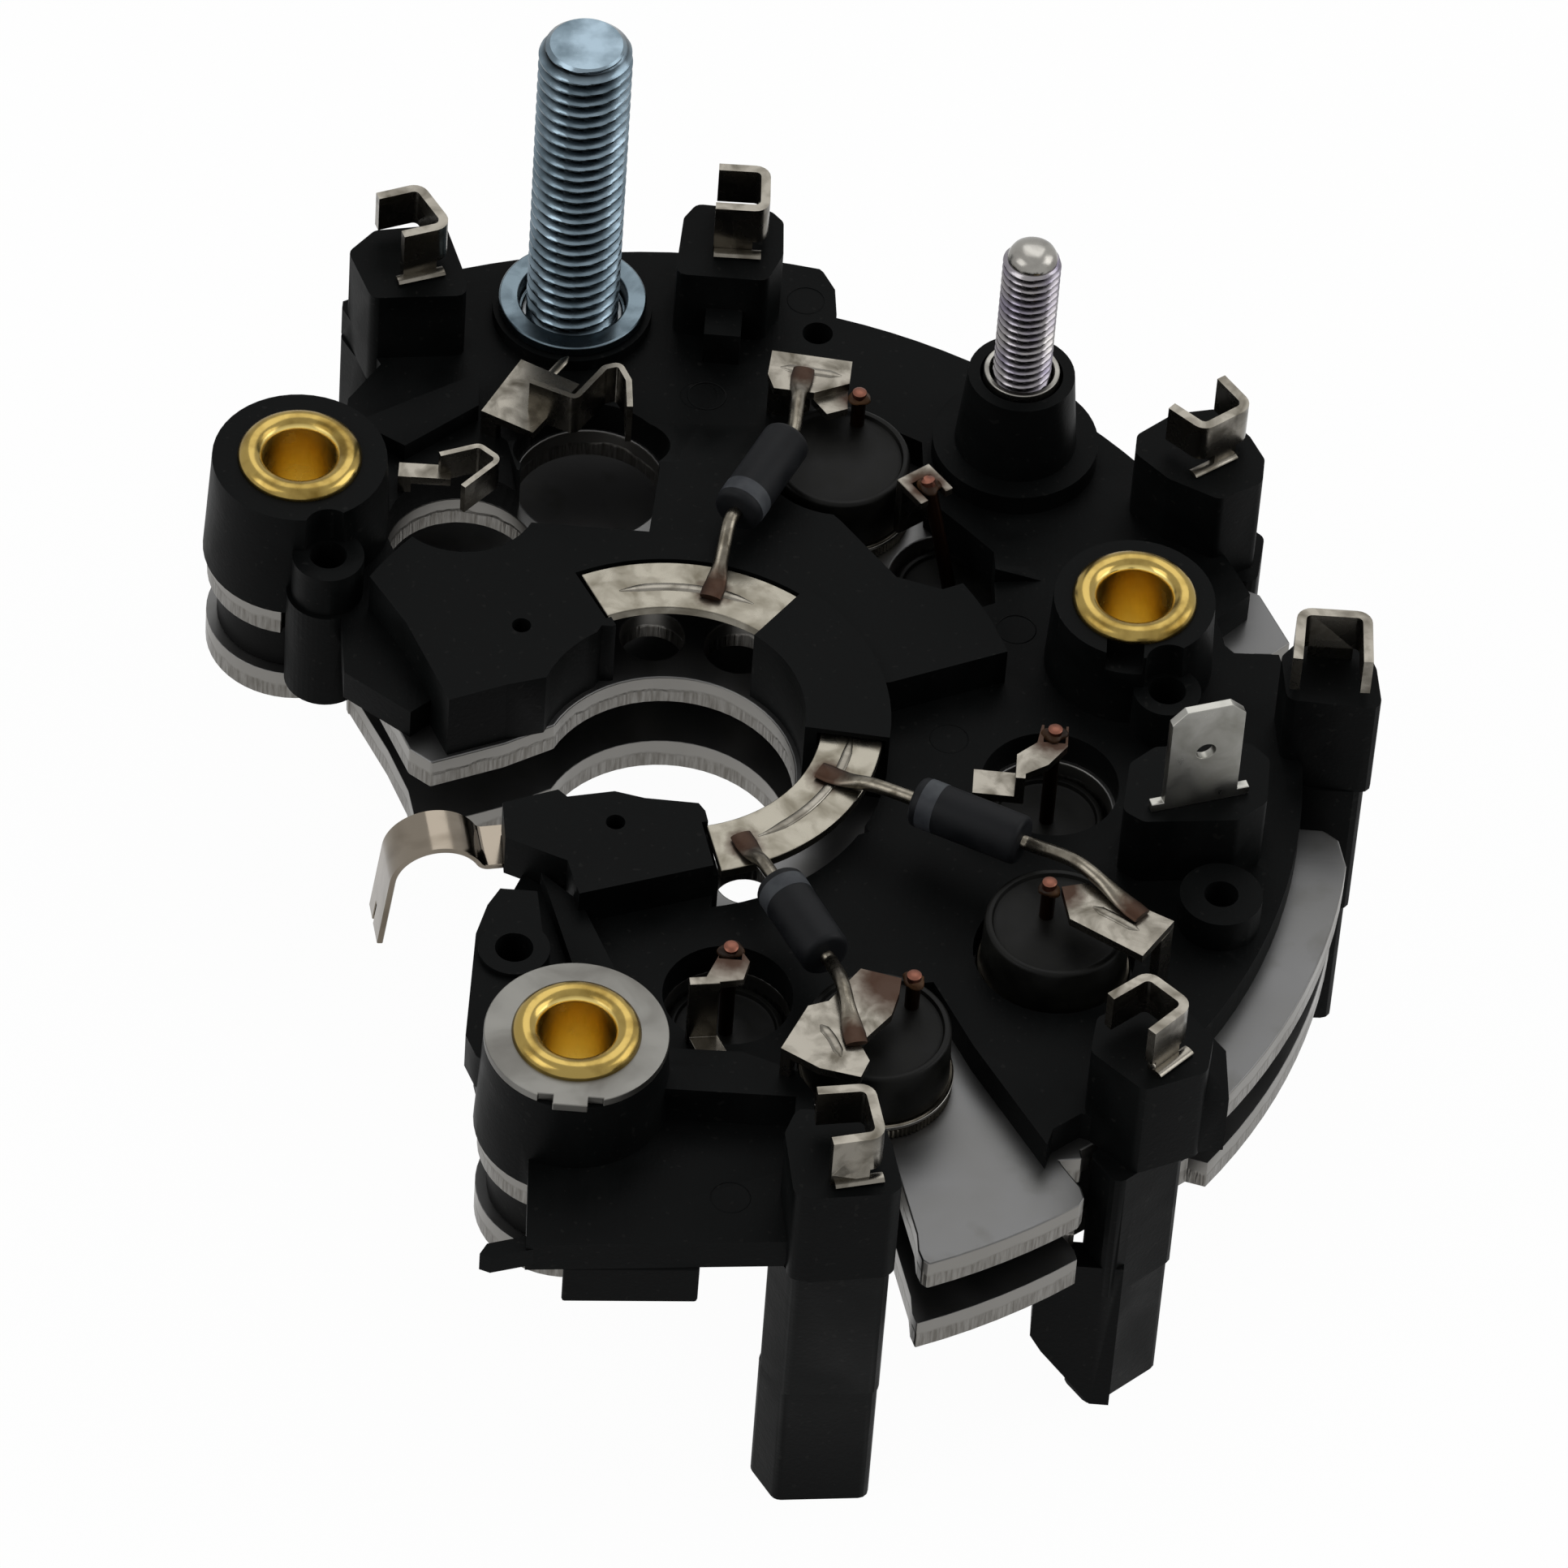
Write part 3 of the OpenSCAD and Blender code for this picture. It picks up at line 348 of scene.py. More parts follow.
def blankedAluminium(name, look):
    material, tree, shader, coords = newFinish(name)
    shader.inputs["Metallic"].default_value = 1.0
    lines = noise(tree, coords, 0.35, 2.0, stretch=(0.03, 1.0, 1.0))
    cloud = noise(tree, coords, 9.0, 4.0, distortion=0.4)
    stains = ranged(tree, noise(tree, coords, 4.0, 5.0), 0.56, 0.74, 0.0, 0.55)
    face = blended(tree, stains, linear(look["face"]), linear(look["stain"]))
    face = blended(tree, ranged(tree, cloud, 0.4, 0.75, 0.0, 0.35), face, linear(look["pale"]))
    # the blanked edge: smooth where the punch sheared it, torn below
    normal = add(tree, "ShaderNodeNewGeometry").outputs["Normal"]
    upright = add(tree, "ShaderNodeSeparateXYZ", {0: normal}).outputs["Z"]
    upright = add(tree, "ShaderNodeMath", {0: upright}, operation="ABSOLUTE").outputs[0]
    side = ranged(tree, upright, 0.35, 0.75, 1.0, 0.0)
    level = add(tree, "ShaderNodeSeparateXYZ", {0: coords}).outputs["Z"]
    level = add(tree, "ShaderNodeMath", {0: level, 1: 7.8 * mm}, operation="FLOORED_MODULO").outputs[0]
    wavy = add(tree, "ShaderNodeMath", {0: noise(tree, coords, 2.2, 3.0), 1: 1.1 * mm}, operation="MULTIPLY").outputs[0]
    level = add(tree, "ShaderNodeMath", {0: level, 1: wavy}, operation="ADD").outputs[0]
    torn = ranged(tree, level, 1.95 * mm, 2.25 * mm, 1.0, 0.0)
    tears = noise(tree, coords, 0.28, 3.0, stretch=(1.0, 1.0, 0.1))
    tearTone = blended(tree, ranged(tree, tears, 0.35, 0.65, 0.0, 1.0), linear(look["torn"]), linear(look["sheared"]))
    edge = blended(tree, torn, linear(look["sheared"]), tearTone)
    tree.links.new(blended(tree, side, face, edge), shader.inputs["Base Color"])
    rough = ranged(tree, cloud, 0.3, 0.7, look["rough"] - 0.05, look["rough"] + 0.08)
    tree.links.new(rough, shader.inputs["Roughness"])
    flatBump = bumped(tree, lines, 0.006, 0.6)
    tearHeight = add(tree, "ShaderNodeMath", {0: tears, 1: torn}, operation="MULTIPLY").outputs[0]
    tearHeight = add(tree, "ShaderNodeMath", {0: tearHeight, 1: side}, operation="MULTIPLY").outputs[0]
    made = add(tree, "ShaderNodeBump", {"Height": tearHeight, "Distance": 0.12 * mm, "Strength": 0.8, "Normal": flatBump})
    tree.links.new(made.outputs[0], shader.inputs["Normal"])
    return material


plateAluminium = blankedAluminium("blankedAluminium", aluminiumLook)

# steel with bright zinc plating: cool grey, with painted shade darkening the thread roots to near black
threadLook = {
    # each root colour is painted shade for the thread roots
    "charge": {"crest": "#74838d", "root": "#0b0e10", "tint": "#4d5a62", "rough": 0.2},
    "lamp": {"crest": "#8c8988", "root": "#141312", "tint": "#6f6a78", "rough": 0.16},
}


def platedThread(name, look, at, rootRadius, crestRadius, top):
    material, tree, shader, coords = newFinish(name)
    shader.inputs["Metallic"].default_value = 1.0
    # painted shade: the colour runs from the crest tone to the near-black root tone towards the thread roots, except on
    # the end face
    flat = add(tree, "ShaderNodeVectorMath", {0: coords, 1: (1, 1, 0)}, operation="MULTIPLY").outputs[0]
    away = add(tree, "ShaderNodeVectorMath", {0: flat, 1: (at[0] * mm, at[1] * mm, 0)}, operation="DISTANCE").outputs["Value"]
    depth = ranged(tree, away, rootRadius * mm, crestRadius * mm, 0.0, 1.0)
    level = add(tree, "ShaderNodeSeparateXYZ", {0: coords}).outputs["Z"]
    endFace = ranged(tree, level, (top - 0.5) * mm, (top - 0.3) * mm, 0.0, 1.0)
    depth = add(tree, "ShaderNodeMath", {0: depth, 1: endFace}, operation="MAXIMUM").outputs[0]
    cloud = noise(tree, coords, 3.0, 3.0)
    tone = blended(tree, ranged(tree, cloud, 0.35, 0.7, 0.0, 1.0), linear(look["crest"]), linear(look["tint"]))
    tree.links.new(blended(tree, depth, linear(look["root"]), tone), shader.inputs["Base Color"])
    tree.links.new(ranged(tree, cloud, 0.3, 0.7, look["rough"], look["rough"] + 0.12), shader.inputs["Roughness"])
    tree.links.new(bumped(tree, noise(tree, coords, 0.25, 2.0), 0.008, 0.5), shader.inputs["Normal"])
    return material


def platedMetal(name, colour, dark, rough, cloudSize=3.0, relief=0.006, spots=(), spotColour="#33221a"):
    # sheet or turned metal with a thin plating, clouded by handling; spots are brown flux and heat marks
    material, tree, shader, coords = newFinish(name)
    shader.inputs["Metallic"].default_value = 1.0
    cloud = noise(tree, coords, cloudSize, 4.0, distortion=0.5)
    tone = blended(tree, ranged(tree, cloud, 0.42, 0.72, 0.0, 1.0), linear(colour), linear(dark))
    roughness = ranged(tree, cloud, 0.3, 0.7, rough, rough + 0.14)
    for point, inner, outer in spots:
        ragged = add(tree, "ShaderNodeMath", {0: noise(tree, coords, 0.8, 3.0), 1: 1.2 * mm}, operation="MULTIPLY").outputs[0]
        away = add(tree, "ShaderNodeVectorMath", {0: coords, 1: Vector(point) * mm}, operation="DISTANCE").outputs["Value"]
        away = add(tree, "ShaderNodeMath", {0: away, 1: ragged}, operation="ADD").outputs[0]
        mark = ranged(tree, away, (inner + 0.5) * mm, (outer + 0.6) * mm, 0.92, 0.0)
        tone = blended(tree, mark, tone, linear(spotColour))
        roughness = add(tree, "ShaderNodeMix", {0: mark, 2: roughness, 3: 0.5}).outputs[0]
    tree.links.new(tone, shader.inputs["Base Color"])
    tree.links.new(roughness, shader.inputs["Roughness"])
    scratches = noise(tree, coords, 0.3, 2.0, stretch=(0.15, 1.0, 1.0))
    tree.links.new(bumped(tree, scratches, relief, 0.6), shader.inputs["Normal"])
    return material


chargePos = (-11.5, 49.0)
lampPos = (26.8, 36.4)
eyelets = {"eyelet_left": (-32.6, 22.3), "eyelet_right": (37.3, 13.5), "eyelet_front": (-5.3, -38.7)}
chargeFinish = platedThread("zincPlatedSteel", threadLook["charge"], chargePos, 3.3, 3.8, 45.7)
lampFinish = platedThread("brightPlatedSteel", threadLook["lamp"], lampPos, 2.0, 2.36, 37.2)
flangeFinish = platedMetal("zincPlatedFlange", "#58646b", "#3a444a", 0.2)
collarFinish = platedMetal("tinPlatedCollar", "#83817c", "#5b5955", 0.2)
washerFinish = platedMetal("nickelPlatedWasher", "#6a6965", "#5b5955", 0.38, cloudSize=5.0)
bladeFinish = platedMetal("tinPlatedBlade", "#8d8c87", "#76756e", 0.26)
springFinish = platedMetal("tinPlatedSpringBronze", "#776f64", "#5c5449", 0.1, cloudSize=6.0, relief=0.0015)

# tin-plated brass strip: warm ivory, brown where it was joined to the leads
tinned = {"colour": "#76726a", "dark": "#48443c", "rough": 0.2}
hookFinish = platedMetal("tinPlatedStrip", tinned["colour"], tinned["dark"], tinned["rough"], cloudSize=2.0)

# polished brass, rolled over; the bore is painted a paler gold, a painted reflection of the light bouncing inside it,
# which its own reflections turn deep orange
brassLook = {"rim": "#937e46", "tarnish": "#5f4b1e", "bore": "#e2cb80"}


def rolledBrass(name, at):
    material, tree, shader, coords = newFinish(name)
    shader.inputs["Metallic"].default_value = 1.0
    cloud = noise(tree, coords, 2.6, 3.0)
    tone = blended(tree, ranged(tree, cloud, 0.45, 0.75, 0.0, 1.0), linear(brassLook["rim"]), linear(brassLook["tarnish"]))
    flat = add(tree, "ShaderNodeVectorMath", {0: coords, 1: (1, 1, 0)}, operation="MULTIPLY").outputs[0]
    away = add(tree, "ShaderNodeVectorMath", {0: flat, 1: (at[0] * mm, at[1] * mm, 0)}, operation="DISTANCE").outputs["Value"]
    # painted reflection: inside the bore the colour turns to the pale bore tone
    paintedBoreReflection = ranged(tree, away, 3.1 * mm, 3.35 * mm, 1.0, 0.0)
    tree.links.new(blended(tree, paintedBoreReflection, tone, linear(brassLook["bore"])), shader.inputs["Base Color"])
    tree.links.new(ranged(tree, cloud, 0.3, 0.7, 0.14, 0.3), shader.inputs["Roughness"])
    tree.links.new(bumped(tree, noise(tree, coords, 0.9, 2.0, stretch=(1, 1, 0.1)), 0.004, 0.4), shader.inputs["Normal"])
    return material


# filled epoxy, cast: near-black, a little gloss, a paler bloom where dust settles
def castEpoxy(name, dark, pale, rough, coat=0.0):
    material, tree, shader, coords = newFinish(name)
    cloud = noise(tree, coords, 2.4, 4.0)
    tree.links.new(blended(tree, ranged(tree, cloud, 0.4, 0.7, 0.0, 1.0), linear(dark), linear(pale)), shader.inputs["Base Color"])
    tree.links.new(ranged(tree, cloud, 0.3, 0.7, rough, rough + 0.15), shader.inputs["Roughness"])
    tree.links.new(bumped(tree, noise(tree, coords, 0.4, 3.0), 0.02, 0.5), shader.inputs["Normal"])
    shader.inputs["Specular IOR Level"].default_value = 0.1
    shader.inputs["Coat Weight"].default_value = coat
    return material


diodeEpoxy = castEpoxy("castDiodeEpoxy", "#070706", "#10100e", 0.38)
smallEpoxy = castEpoxy("mouldedDiodeEpoxy", "#0f1012", "#17181a", 0.45)
bandInk = castEpoxy("silverBandInk", "#34363a", "#4a4d50", 0.35)
cupFinish = platedMetal("nickelPlatedCopper", "#6a655b", "#3a362f", 0.24, cloudSize=1.5)
tipFinish = platedMetal("brightPlatedTip", "#8f8d88", "#6f6c68", 0.18)

# bare copper lead ends, pink where freshly cut, brown where the joint was heated
copperLook = {"fresh": "#6a4539", "brown": "#2c1b13"}


def cutCopper(name, level):
    material, tree, shader, coords = newFinish(name)
    shader.inputs["Metallic"].default_value = 1.0
    height = add(tree, "ShaderNodeSeparateXYZ", {0: coords}).outputs["Z"]
    ragged = add(tree, "ShaderNodeMath", {0: noise(tree, coords, 0.7, 3.0), 1: 0.8 * mm}, operation="MULTIPLY").outputs[0]
    height = add(tree, "ShaderNodeMath", {0: height, 1: ragged}, operation="ADD").outputs[0]
    fresh = ranged(tree, height, (level + 0.3) * mm, (level + 0.8) * mm, 0.0, 1.0)
    tree.links.new(blended(tree, fresh, linear(copperLook["brown"]), linear(copperLook["fresh"])), shader.inputs["Base Color"])
    shader.inputs["Roughness"].default_value = 0.38
    tree.links.new(bumped(tree, noise(tree, coords, 0.3, 3.0), 0.03, 0.6), shader.inputs["Normal"])
    return material


fluxResidue = castEpoxy("brownFluxResidue", "#1d120b", "#4a3320", 0.4)
print("finishes ready")


# moulded and blanked parts with rounded edges

edges = {"carrier": 0.28, "plate": 0.3, "spacer": 0.2, "strip": 0.12}
softened("carrier", "carrierMoulding", edges["carrier"], carrierPlastic, "moulding")
softened("heat_sink_upper", "upperHeatSink", edges["plate"], plateAluminium, "heat_sink", 3)
softened("heat_sink_lower", "lowerHeatSink", edges["plate"], plateAluminium, "heat_sink", 3)
for side in ("left", "right", "front"):
    softened("spacer_" + side, "spacer_ring_" + side, edges["spacer"], spacerPlastic, "spacer")
softened("front_insert", "frontInsert", 0.25, carrierPlastic, "moulding")
softened("washer_front", "seatWasher", 0.1, washerFinish, "washer")
softened("charge_collar", "chargeFlange", 0.25, flangeFinish, "zinc_stud", 3)
softened("lamp_collar", "lampSleeve", 0.12, collarFinish, "bright_stud")
softened("blade_terminal", "bladeTab", 0.12, bladeFinish, "tinned")
softened("exciter_ring", "exciterRing", 0.1, platedMetal(
    "tinPlatedRing", "#7a766c", "#595449", 0.22, cloudSize=2.5,
    spots=[((2.6, 14.2, 17.4), 0.9, 1.9), ((13.2, -5.4, 17.4), 1.0, 2.2), ((6.8, -13.6, 17.4), 0.9, 1.9)]), "tinned")
for node in ("hook_back_left", "hook_back", "hook_back_right", "hook_right", "hook_front_right", "hook_front"):
    softened(node, "stator_" + node, edges["strip"], hookFinish, "tinned")
for node, spots in (
    ("pad_back", [((13.2, 35.6, 20), 0.9, 2.0), ((8.6, 37.2, 20.6), 0.6, 1.3)]),
    ("pad_right", [((32.4, -18.8, 20.4), 1.3, 2.6), ((38.2, -20.4, 20.6), 0.6, 1.6)]),
    ("pad_front", [((20.2, -29.6, 20.4), 2.6, 5.0), ((16.6, -36, 20.6), 0.4, 1.0)]),
    ("pad_spare", []),
    ("loop_spare", []),
    ("fork_back", [((19.6, 26.2, 20), 1.2, 2.4)]),
    ("fork_right", [((31.4, -1, 20), 1.6, 3.0)]),
    ("fork_front", [((6.4, -28.6, 21), 1.4, 3.6)]),
):
    finish = platedMetal("tinned_" + node, tinned["colour"], tinned["dark"], tinned["rough"], cloudSize=2.0, spots=spots)
    softened(node, "strip_" + node, edges["strip"], finish, "tinned")

# contact spring: one strip, bent up out of the carrier, rolled over and straight down to its tip
spring = {
    "root": (-11.5, -12.0, 13.55), "turn": 13.0, "wide": 4.4, "thick": 0.5,
    "bend": 0.9,            # radius of the bend up from the root, which ends 2.85 mm out
    "roll": (-7.0, -1.3, 3.8),  # centre and radius of the roll, seen from the side
    "leg": 7.25,
    "notch": (0.1, 0.5, 2.2),   # from, to and depth of the cut in the tip
}


def springLine(size):
    steep, last = 62.1, 173.2   # degrees: where the bend meets the roll, and the roll the leg
    x, z, r = size["roll"]
    turns = [math.radians(steep * k / 6) for k in range(7)]
    line = [(2.5, 0.0), (0.0, 0.0)] + [(-2.85 - size["bend"] * math.sin(t), size["bend"] * (1 - math.cos(t))) for t in turns]
    turns = [math.radians(90 - steep + (last - 90 + steep) * k / 36) for k in range(1, 37)]
    line += [(x + r * math.cos(t), z + r * math.sin(t)) for t in turns]
    down = (-math.cos(math.radians(last - 90)), -math.sin(math.radians(last - 90)))
    lengths = (1.5, 3.2, size["leg"] - size["notch"][2], size["leg"])
    end = line[-1]
    return [Vector((px, 0, pz)) for px, pz in line + [(end[0] + down[0] * n, end[1] + down[1] * n) for n in lengths]]


def archedStrip(name, size, finish):
    # rectangular section carried along the line; two tongues stand on either side of the notch
    line = springLine(size)
    half, thin, soft = size["wide"] / 2, size["thick"] / 2, 0.07
    verts, faces = [], []
    for first, last, low, high in ((0, len(line) - 2, -half, half), (len(line) - 2, len(line) - 1, -half, size["notch"][0]),
                                   (len(line) - 2, len(line) - 1, size["notch"][1], half)):
        section = [(low + soft, -thin), (high - soft, -thin), (high, -thin + soft), (high, thin - soft),
                   (high - soft, thin), (low + soft, thin), (low, thin - soft), (low, -thin + soft)]
        start, rows = len(verts), last - first
        for i in range(first, last + 1):
            along = (line[min(i + 1, len(line) - 1)] - line[max(i - 1, 0)]).normalized()
            over = Vector((-along.z, 0, along.x))
            verts += [line[i] + Vector((0, y, 0)) + over * z for y, z in section]
        for row in range(start, start + 8 * rows, 8):
            faces += [(row + k, row + (k + 1) % 8, row + 8 + (k + 1) % 8, row + 8 + k) for k in range(8)]
        end = start + 8 * rows
        faces += [tuple(range(start + 7, start - 1, -1)), tuple(range(end, end + 8))]
    turn = Matrix.Rotation(math.radians(size["turn"]), 3, "Z")
    return smoothed(meshObject(name, [turn @ v + Vector(size["root"]) for v in verts], faces, finish), 25)


placed(archedStrip("contactSpring", spring, springFinish), "tinned", "contact_spring")

# embossed lines: a low rounded bead pressed up out of the strip
beads = {
    "ringBeadBack": [(14.6 * math.cos(math.radians(a)), 14.6 * math.sin(math.radians(a)), 17.4) for a in range(66, 112, 3)],
    "ringBeadRight": [(14.8 * math.cos(math.radians(a)), 14.8 * math.sin(math.radians(a)), 17.4) for a in range(-58, 2, 3)],
    "padBeadBack": [(6.6, 37.9, 20.6), (9.0, 37.7, 20.6), (11.8, 37.4, 20.6)],
    "padBeadRight": [(35.2, -20.3, 20.6), (37.2, -21.4, 20.6), (39.0, -22.5, 20.6)],
    "padBeadFront": [(14.0, -35.2, 20.6), (15.0, -36.6, 20.6), (15.8, -38.4, 20.6)],
    "padBeadSpare": [(-13.6, 38.4, 15.6), (-12.4, 40.4, 15.6), (-11.4, 42.2, 15.6)],
}
beadWidth, beadHeight = 0.42, 0.16
for name, points in beads.items():
    line = [Vector(q) for q in points]
    tapers = [(0.08, 0.02), (beadWidth, beadHeight)] + [(beadWidth, beadHeight)] * 4 + [(0.08, 0.02)]
    placed(sweep(name, line if len(line) > 4 else curveThrough(points, 6), tapers, hookFinish), "tinned")

# foot lips of five hooks, folded out over the tops of their towers
lips = {
    "back_left": ((-26.2, 44.0), (-22.4, 45.6)), "back": ((0.2, 50.3), (4.2, 50.4)), "back_right": ((41.6, 28.5), (45.0, 31.2)),
    "front_right": ((43.4, -35.4), (40.9, -38.2)), "front": ((19.8, -51.2), (16.0, -52.3)),
}
for name, (start, end) in lips.items():
    line = [Vector((*start, 21.25)).lerp(Vector((*end, 21.25)), k / 6) for k in range(7)]
    placed(sweep("hookLip_" + name, line, [(0.55, 0.22)] * 2, hookFinish, 12), "tinned")
print("moulding, plates and strips done")


# screw threads, made by one Geometry Nodes tree

def threadTree():
    # a tube whose wall follows a helix: crest and root flats, 60 degree flanks, chamfered end
    tree = bpy.data.node_groups.new("screwThread", "GeometryNodeTree")
    face = tree.interface
    face.new_socket("Geometry", in_out="OUTPUT", socket_type="NodeSocketGeometry")
    for name, value in (("Radius", 0.004), ("Pitch", 0.00125), ("Depth", 0.0007), ("Length", 0.03), ("Chamfer", 0.001)):
        face.new_socket(name, in_out="INPUT", socket_type="NodeSocketFloat").default_value = value
    face.new_socket("Rows", in_out="INPUT", socket_type="NodeSocketInt").default_value = 300
    face.new_socket("Finish", in_out="INPUT", socket_type="NodeSocketMaterial")
    given = add(tree, "NodeGroupInput").outputs
    tube = add(tree, "GeometryNodeMeshCylinder", {
        "Vertices": 72, "Side Segments": given["Rows"], "Radius": given["Radius"], "Depth": given["Length"]}, fill_type="TRIANGLE_FAN")
    place = add(tree, "ShaderNodeSeparateXYZ", {0: add(tree, "GeometryNodeInputPosition").outputs[0]}).outputs
    angle = add(tree, "ShaderNodeMath", {0: place["Y"], 1: place["X"]}, operation="ARCTAN2").outputs[0]
    turns = add(tree, "ShaderNodeMath", {0: angle, 1: 2 * math.pi}, operation="DIVIDE").outputs[0]
    rise = add(tree, "ShaderNodeMath", {0: place["Z"], 1: given["Pitch"]}, operation="DIVIDE").outputs[0]
    phase = add(tree, "ShaderNodeMath", {0: rise, 1: turns}, operation="SUBTRACT").outputs[0]
    wave = add(tree, "ShaderNodeMath", {0: phase, 1: 0.5}, operation="PINGPONG").outputs[0]
    # wave runs 0 to 0.5 and back once a turn; an eighth is crest, a quarter is root
    profile = add(tree, "ShaderNodeMapRange", {0: wave, 1: 0.1, 2: 0.42, 3: 1.0, 4: 0.0}).outputs[0]
    cut = add(tree, "ShaderNodeMath", {0: profile, 1: given["Depth"]}, operation="MULTIPLY").outputs[0]
    radius = add(tree, "ShaderNodeMath", {0: given["Radius"], 1: cut}, operation="SUBTRACT").outputs[0]
    half = add(tree, "ShaderNodeMath", {0: given["Length"], 1: 0.5}, operation="MULTIPLY").outputs[0]
    toEnd = add(tree, "ShaderNodeMath", {0: half, 1: place["Z"]}, operation="SUBTRACT").outputs[0]
    limit = add(tree, "ShaderNodeMath", {0: given["Radius"], 1: given["Chamfer"]}, operation="SUBTRACT").outputs[0]
    limit = add(tree, "ShaderNodeMath", {0: limit, 1: toEnd}, operation="ADD").outputs[0]
    radius = add(tree, "ShaderNodeMath", {0: radius, 1: limit}, operation="MINIMUM").outputs[0]
    share = add(tree, "ShaderNodeMath", {0: radius, 1: given["Radius"]}, operation="DIVIDE").outputs[0]
    scaled = add(tree, "ShaderNodeCombineXYZ", {
        0: add(tree, "ShaderNodeMath", {0: place["X"], 1: share}, operation="MULTIPLY").outputs[0],
        1: add(tree, "ShaderNodeMath", {0: place["Y"], 1: share}, operation="MULTIPLY").outputs[0],
        2: place["Z"]}).outputs[0]
    moved = add(tree, "GeometryNodeSetPosition", {"Geometry": tube.outputs["Mesh"], "Position": scaled})
    real = add(tree, "GeometryNodeRealizeInstances", {"Geometry": moved.outputs[0]})
    dressed = add(tree, "GeometryNodeSetMaterial", {"Geometry": real.outputs[0], "Material": given["Finish"]})
    add(tree, "NodeGroupOutput", {0: dressed.outputs[0]})
    return tree


def fromTree(name, tree, values):
    # runs a tree on an empty mesh and keeps its result as a plain mesh
    made = bpy.data.objects.new(name, bpy.data.meshes.new(name))
    bpy.context.scene.collection.objects.link(made)
    modifier = made.modifiers.new("Build", "NODES")
    modifier.node_group = tree
    sockets = {s.name: s.identifier for s in tree.interface.items_tree if s.in_out == "INPUT"}
    for key, value in values.items():
        modifier[sockets[key]] = value
    return baked(made)


threads = {
    "charge": {"at": chargePos, "radius": 3.95, "pitch": 1.25, "depth": 0.72, "from": 13.0, "to": 45.7, "chamfer": 0.9},
    "lamp": {"at": lampPos, "radius": 2.45, "pitch": 0.8, "depth": 0.46, "from": 22.0, "to": 37.2, "chamfer": 0.3},
}
screwThread = threadTree()


def threadPiece(name, size, finish):
    length = size["to"] - size["from"]
    made = fromTree(name, screwThread, {
        "Radius": size["radius"] * mm, "Pitch": size["pitch"] * mm, "Depth": size["depth"] * mm, "Length": length * mm,
        "Chamfer": size["chamfer"] * mm, "Rows": int(length / size["pitch"] * 14), "Finish": finish})
    made.data.transform(Matrix.Translation(Vector((size["at"][0], size["at"][1], size["from"] + length / 2)) * mm))
    return smoothed(made, 38)


placed(threadPiece("chargeStudThread", threads["charge"], chargeFinish), "zinc_stud", "charge_stud")
placed(threadPiece("lampStudThread", threads["lamp"], lampFinish), "bright_stud", "lamp_stud")
dome = [(2.02, 36.9), (2.1, 37.15), (2.06, 37.5), (1.85, 37.9), (1.45, 38.22), (0.85, 38.43), (0.0, 38.5)]
placed(lathe("lampStudTip", [(0.0, 36.6), (2.0, 36.6)] + dome, (lampPos[0], lampPos[1], 0), tipFinish), "bright_stud")
print("threads done")

# eyelets: drawn tube, rolled over in a half-round flange

eyelet = {"bore": 3.05, "tube": 3.6, "flange": 5.2, "seat": 21.4, "top": 22.3, "foot": -0.8}
for node, at in eyelets.items():
    middle, half = (eyelet["flange"] + eyelet["bore"]) / 2, (eyelet["flange"] - eyelet["bore"]) / 2
    rise = eyelet["top"] - eyelet["seat"]
    profile = [(eyelet["bore"], eyelet["foot"] + 0.3), (eyelet["bore"] + 0.25, eyelet["foot"]), (4.35, eyelet["foot"]),
               (4.6, eyelet["foot"] + 0.2), (4.6, -0.15), (4.5, 0.0), (eyelet["tube"], 0.0), (eyelet["tube"], eyelet["seat"])]
    profile += [(middle + half * math.cos(a), eyelet["seat"] + rise * math.sin(a))
                for a in [math.radians(d) for d in range(0, 156, 12)]]
    profile += [(3.09, 21.72), (eyelet["bore"], 21.5), (eyelet["bore"], 12.0)]
    placed(lathe("rolled_" + node, profile, (at[0], at[1], 0), rolledBrass("rolledBrass_" + node, at), 96, closed=True), "eyelet", node)
print("eyelets done")

# power diodes: cast body with a raised rim and a sunk, slightly domed top, in a plated cup

diode = {"body": 6.0, "lowerBody": 4.9, "rim": 0.7, "sunk": 0.45, "seat": 6.3, "cup": 1.7, "rise": 6.8}
positive = {"back": (12.2, 31.1), "right": (32.5, -19.5), "front": (18.7, -32.2)}
negative = {"back": (22.3, 24.0), "right": (31.4, -1.0), "front": (6.4, -26.8)}


def castBody(name, at, seat, radius, node):
    base, top = seat + diode["cup"], seat + diode["rise"]
    inner = radius - diode["rim"]
    profile = [(0.0, base), (radius - 0.05, base), (radius, base + 0.1), (radius - 0.12, top - 0.3), (radius - 0.25, top - 0.08),
               (radius - 0.45, top), (inner, top - 0.05), (inner - 0.15, top - diode["sunk"] + 0.1), (inner - 0.4, top - diode["sunk"]),
               (inner * 0.5, top - diode["sunk"] + 0.08), (0.0, top - diode["sunk"] + 0.12)]
    placed(lathe(name, profile, (at[0], at[1], 0), diodeEpoxy, 96), "diode_body", node)


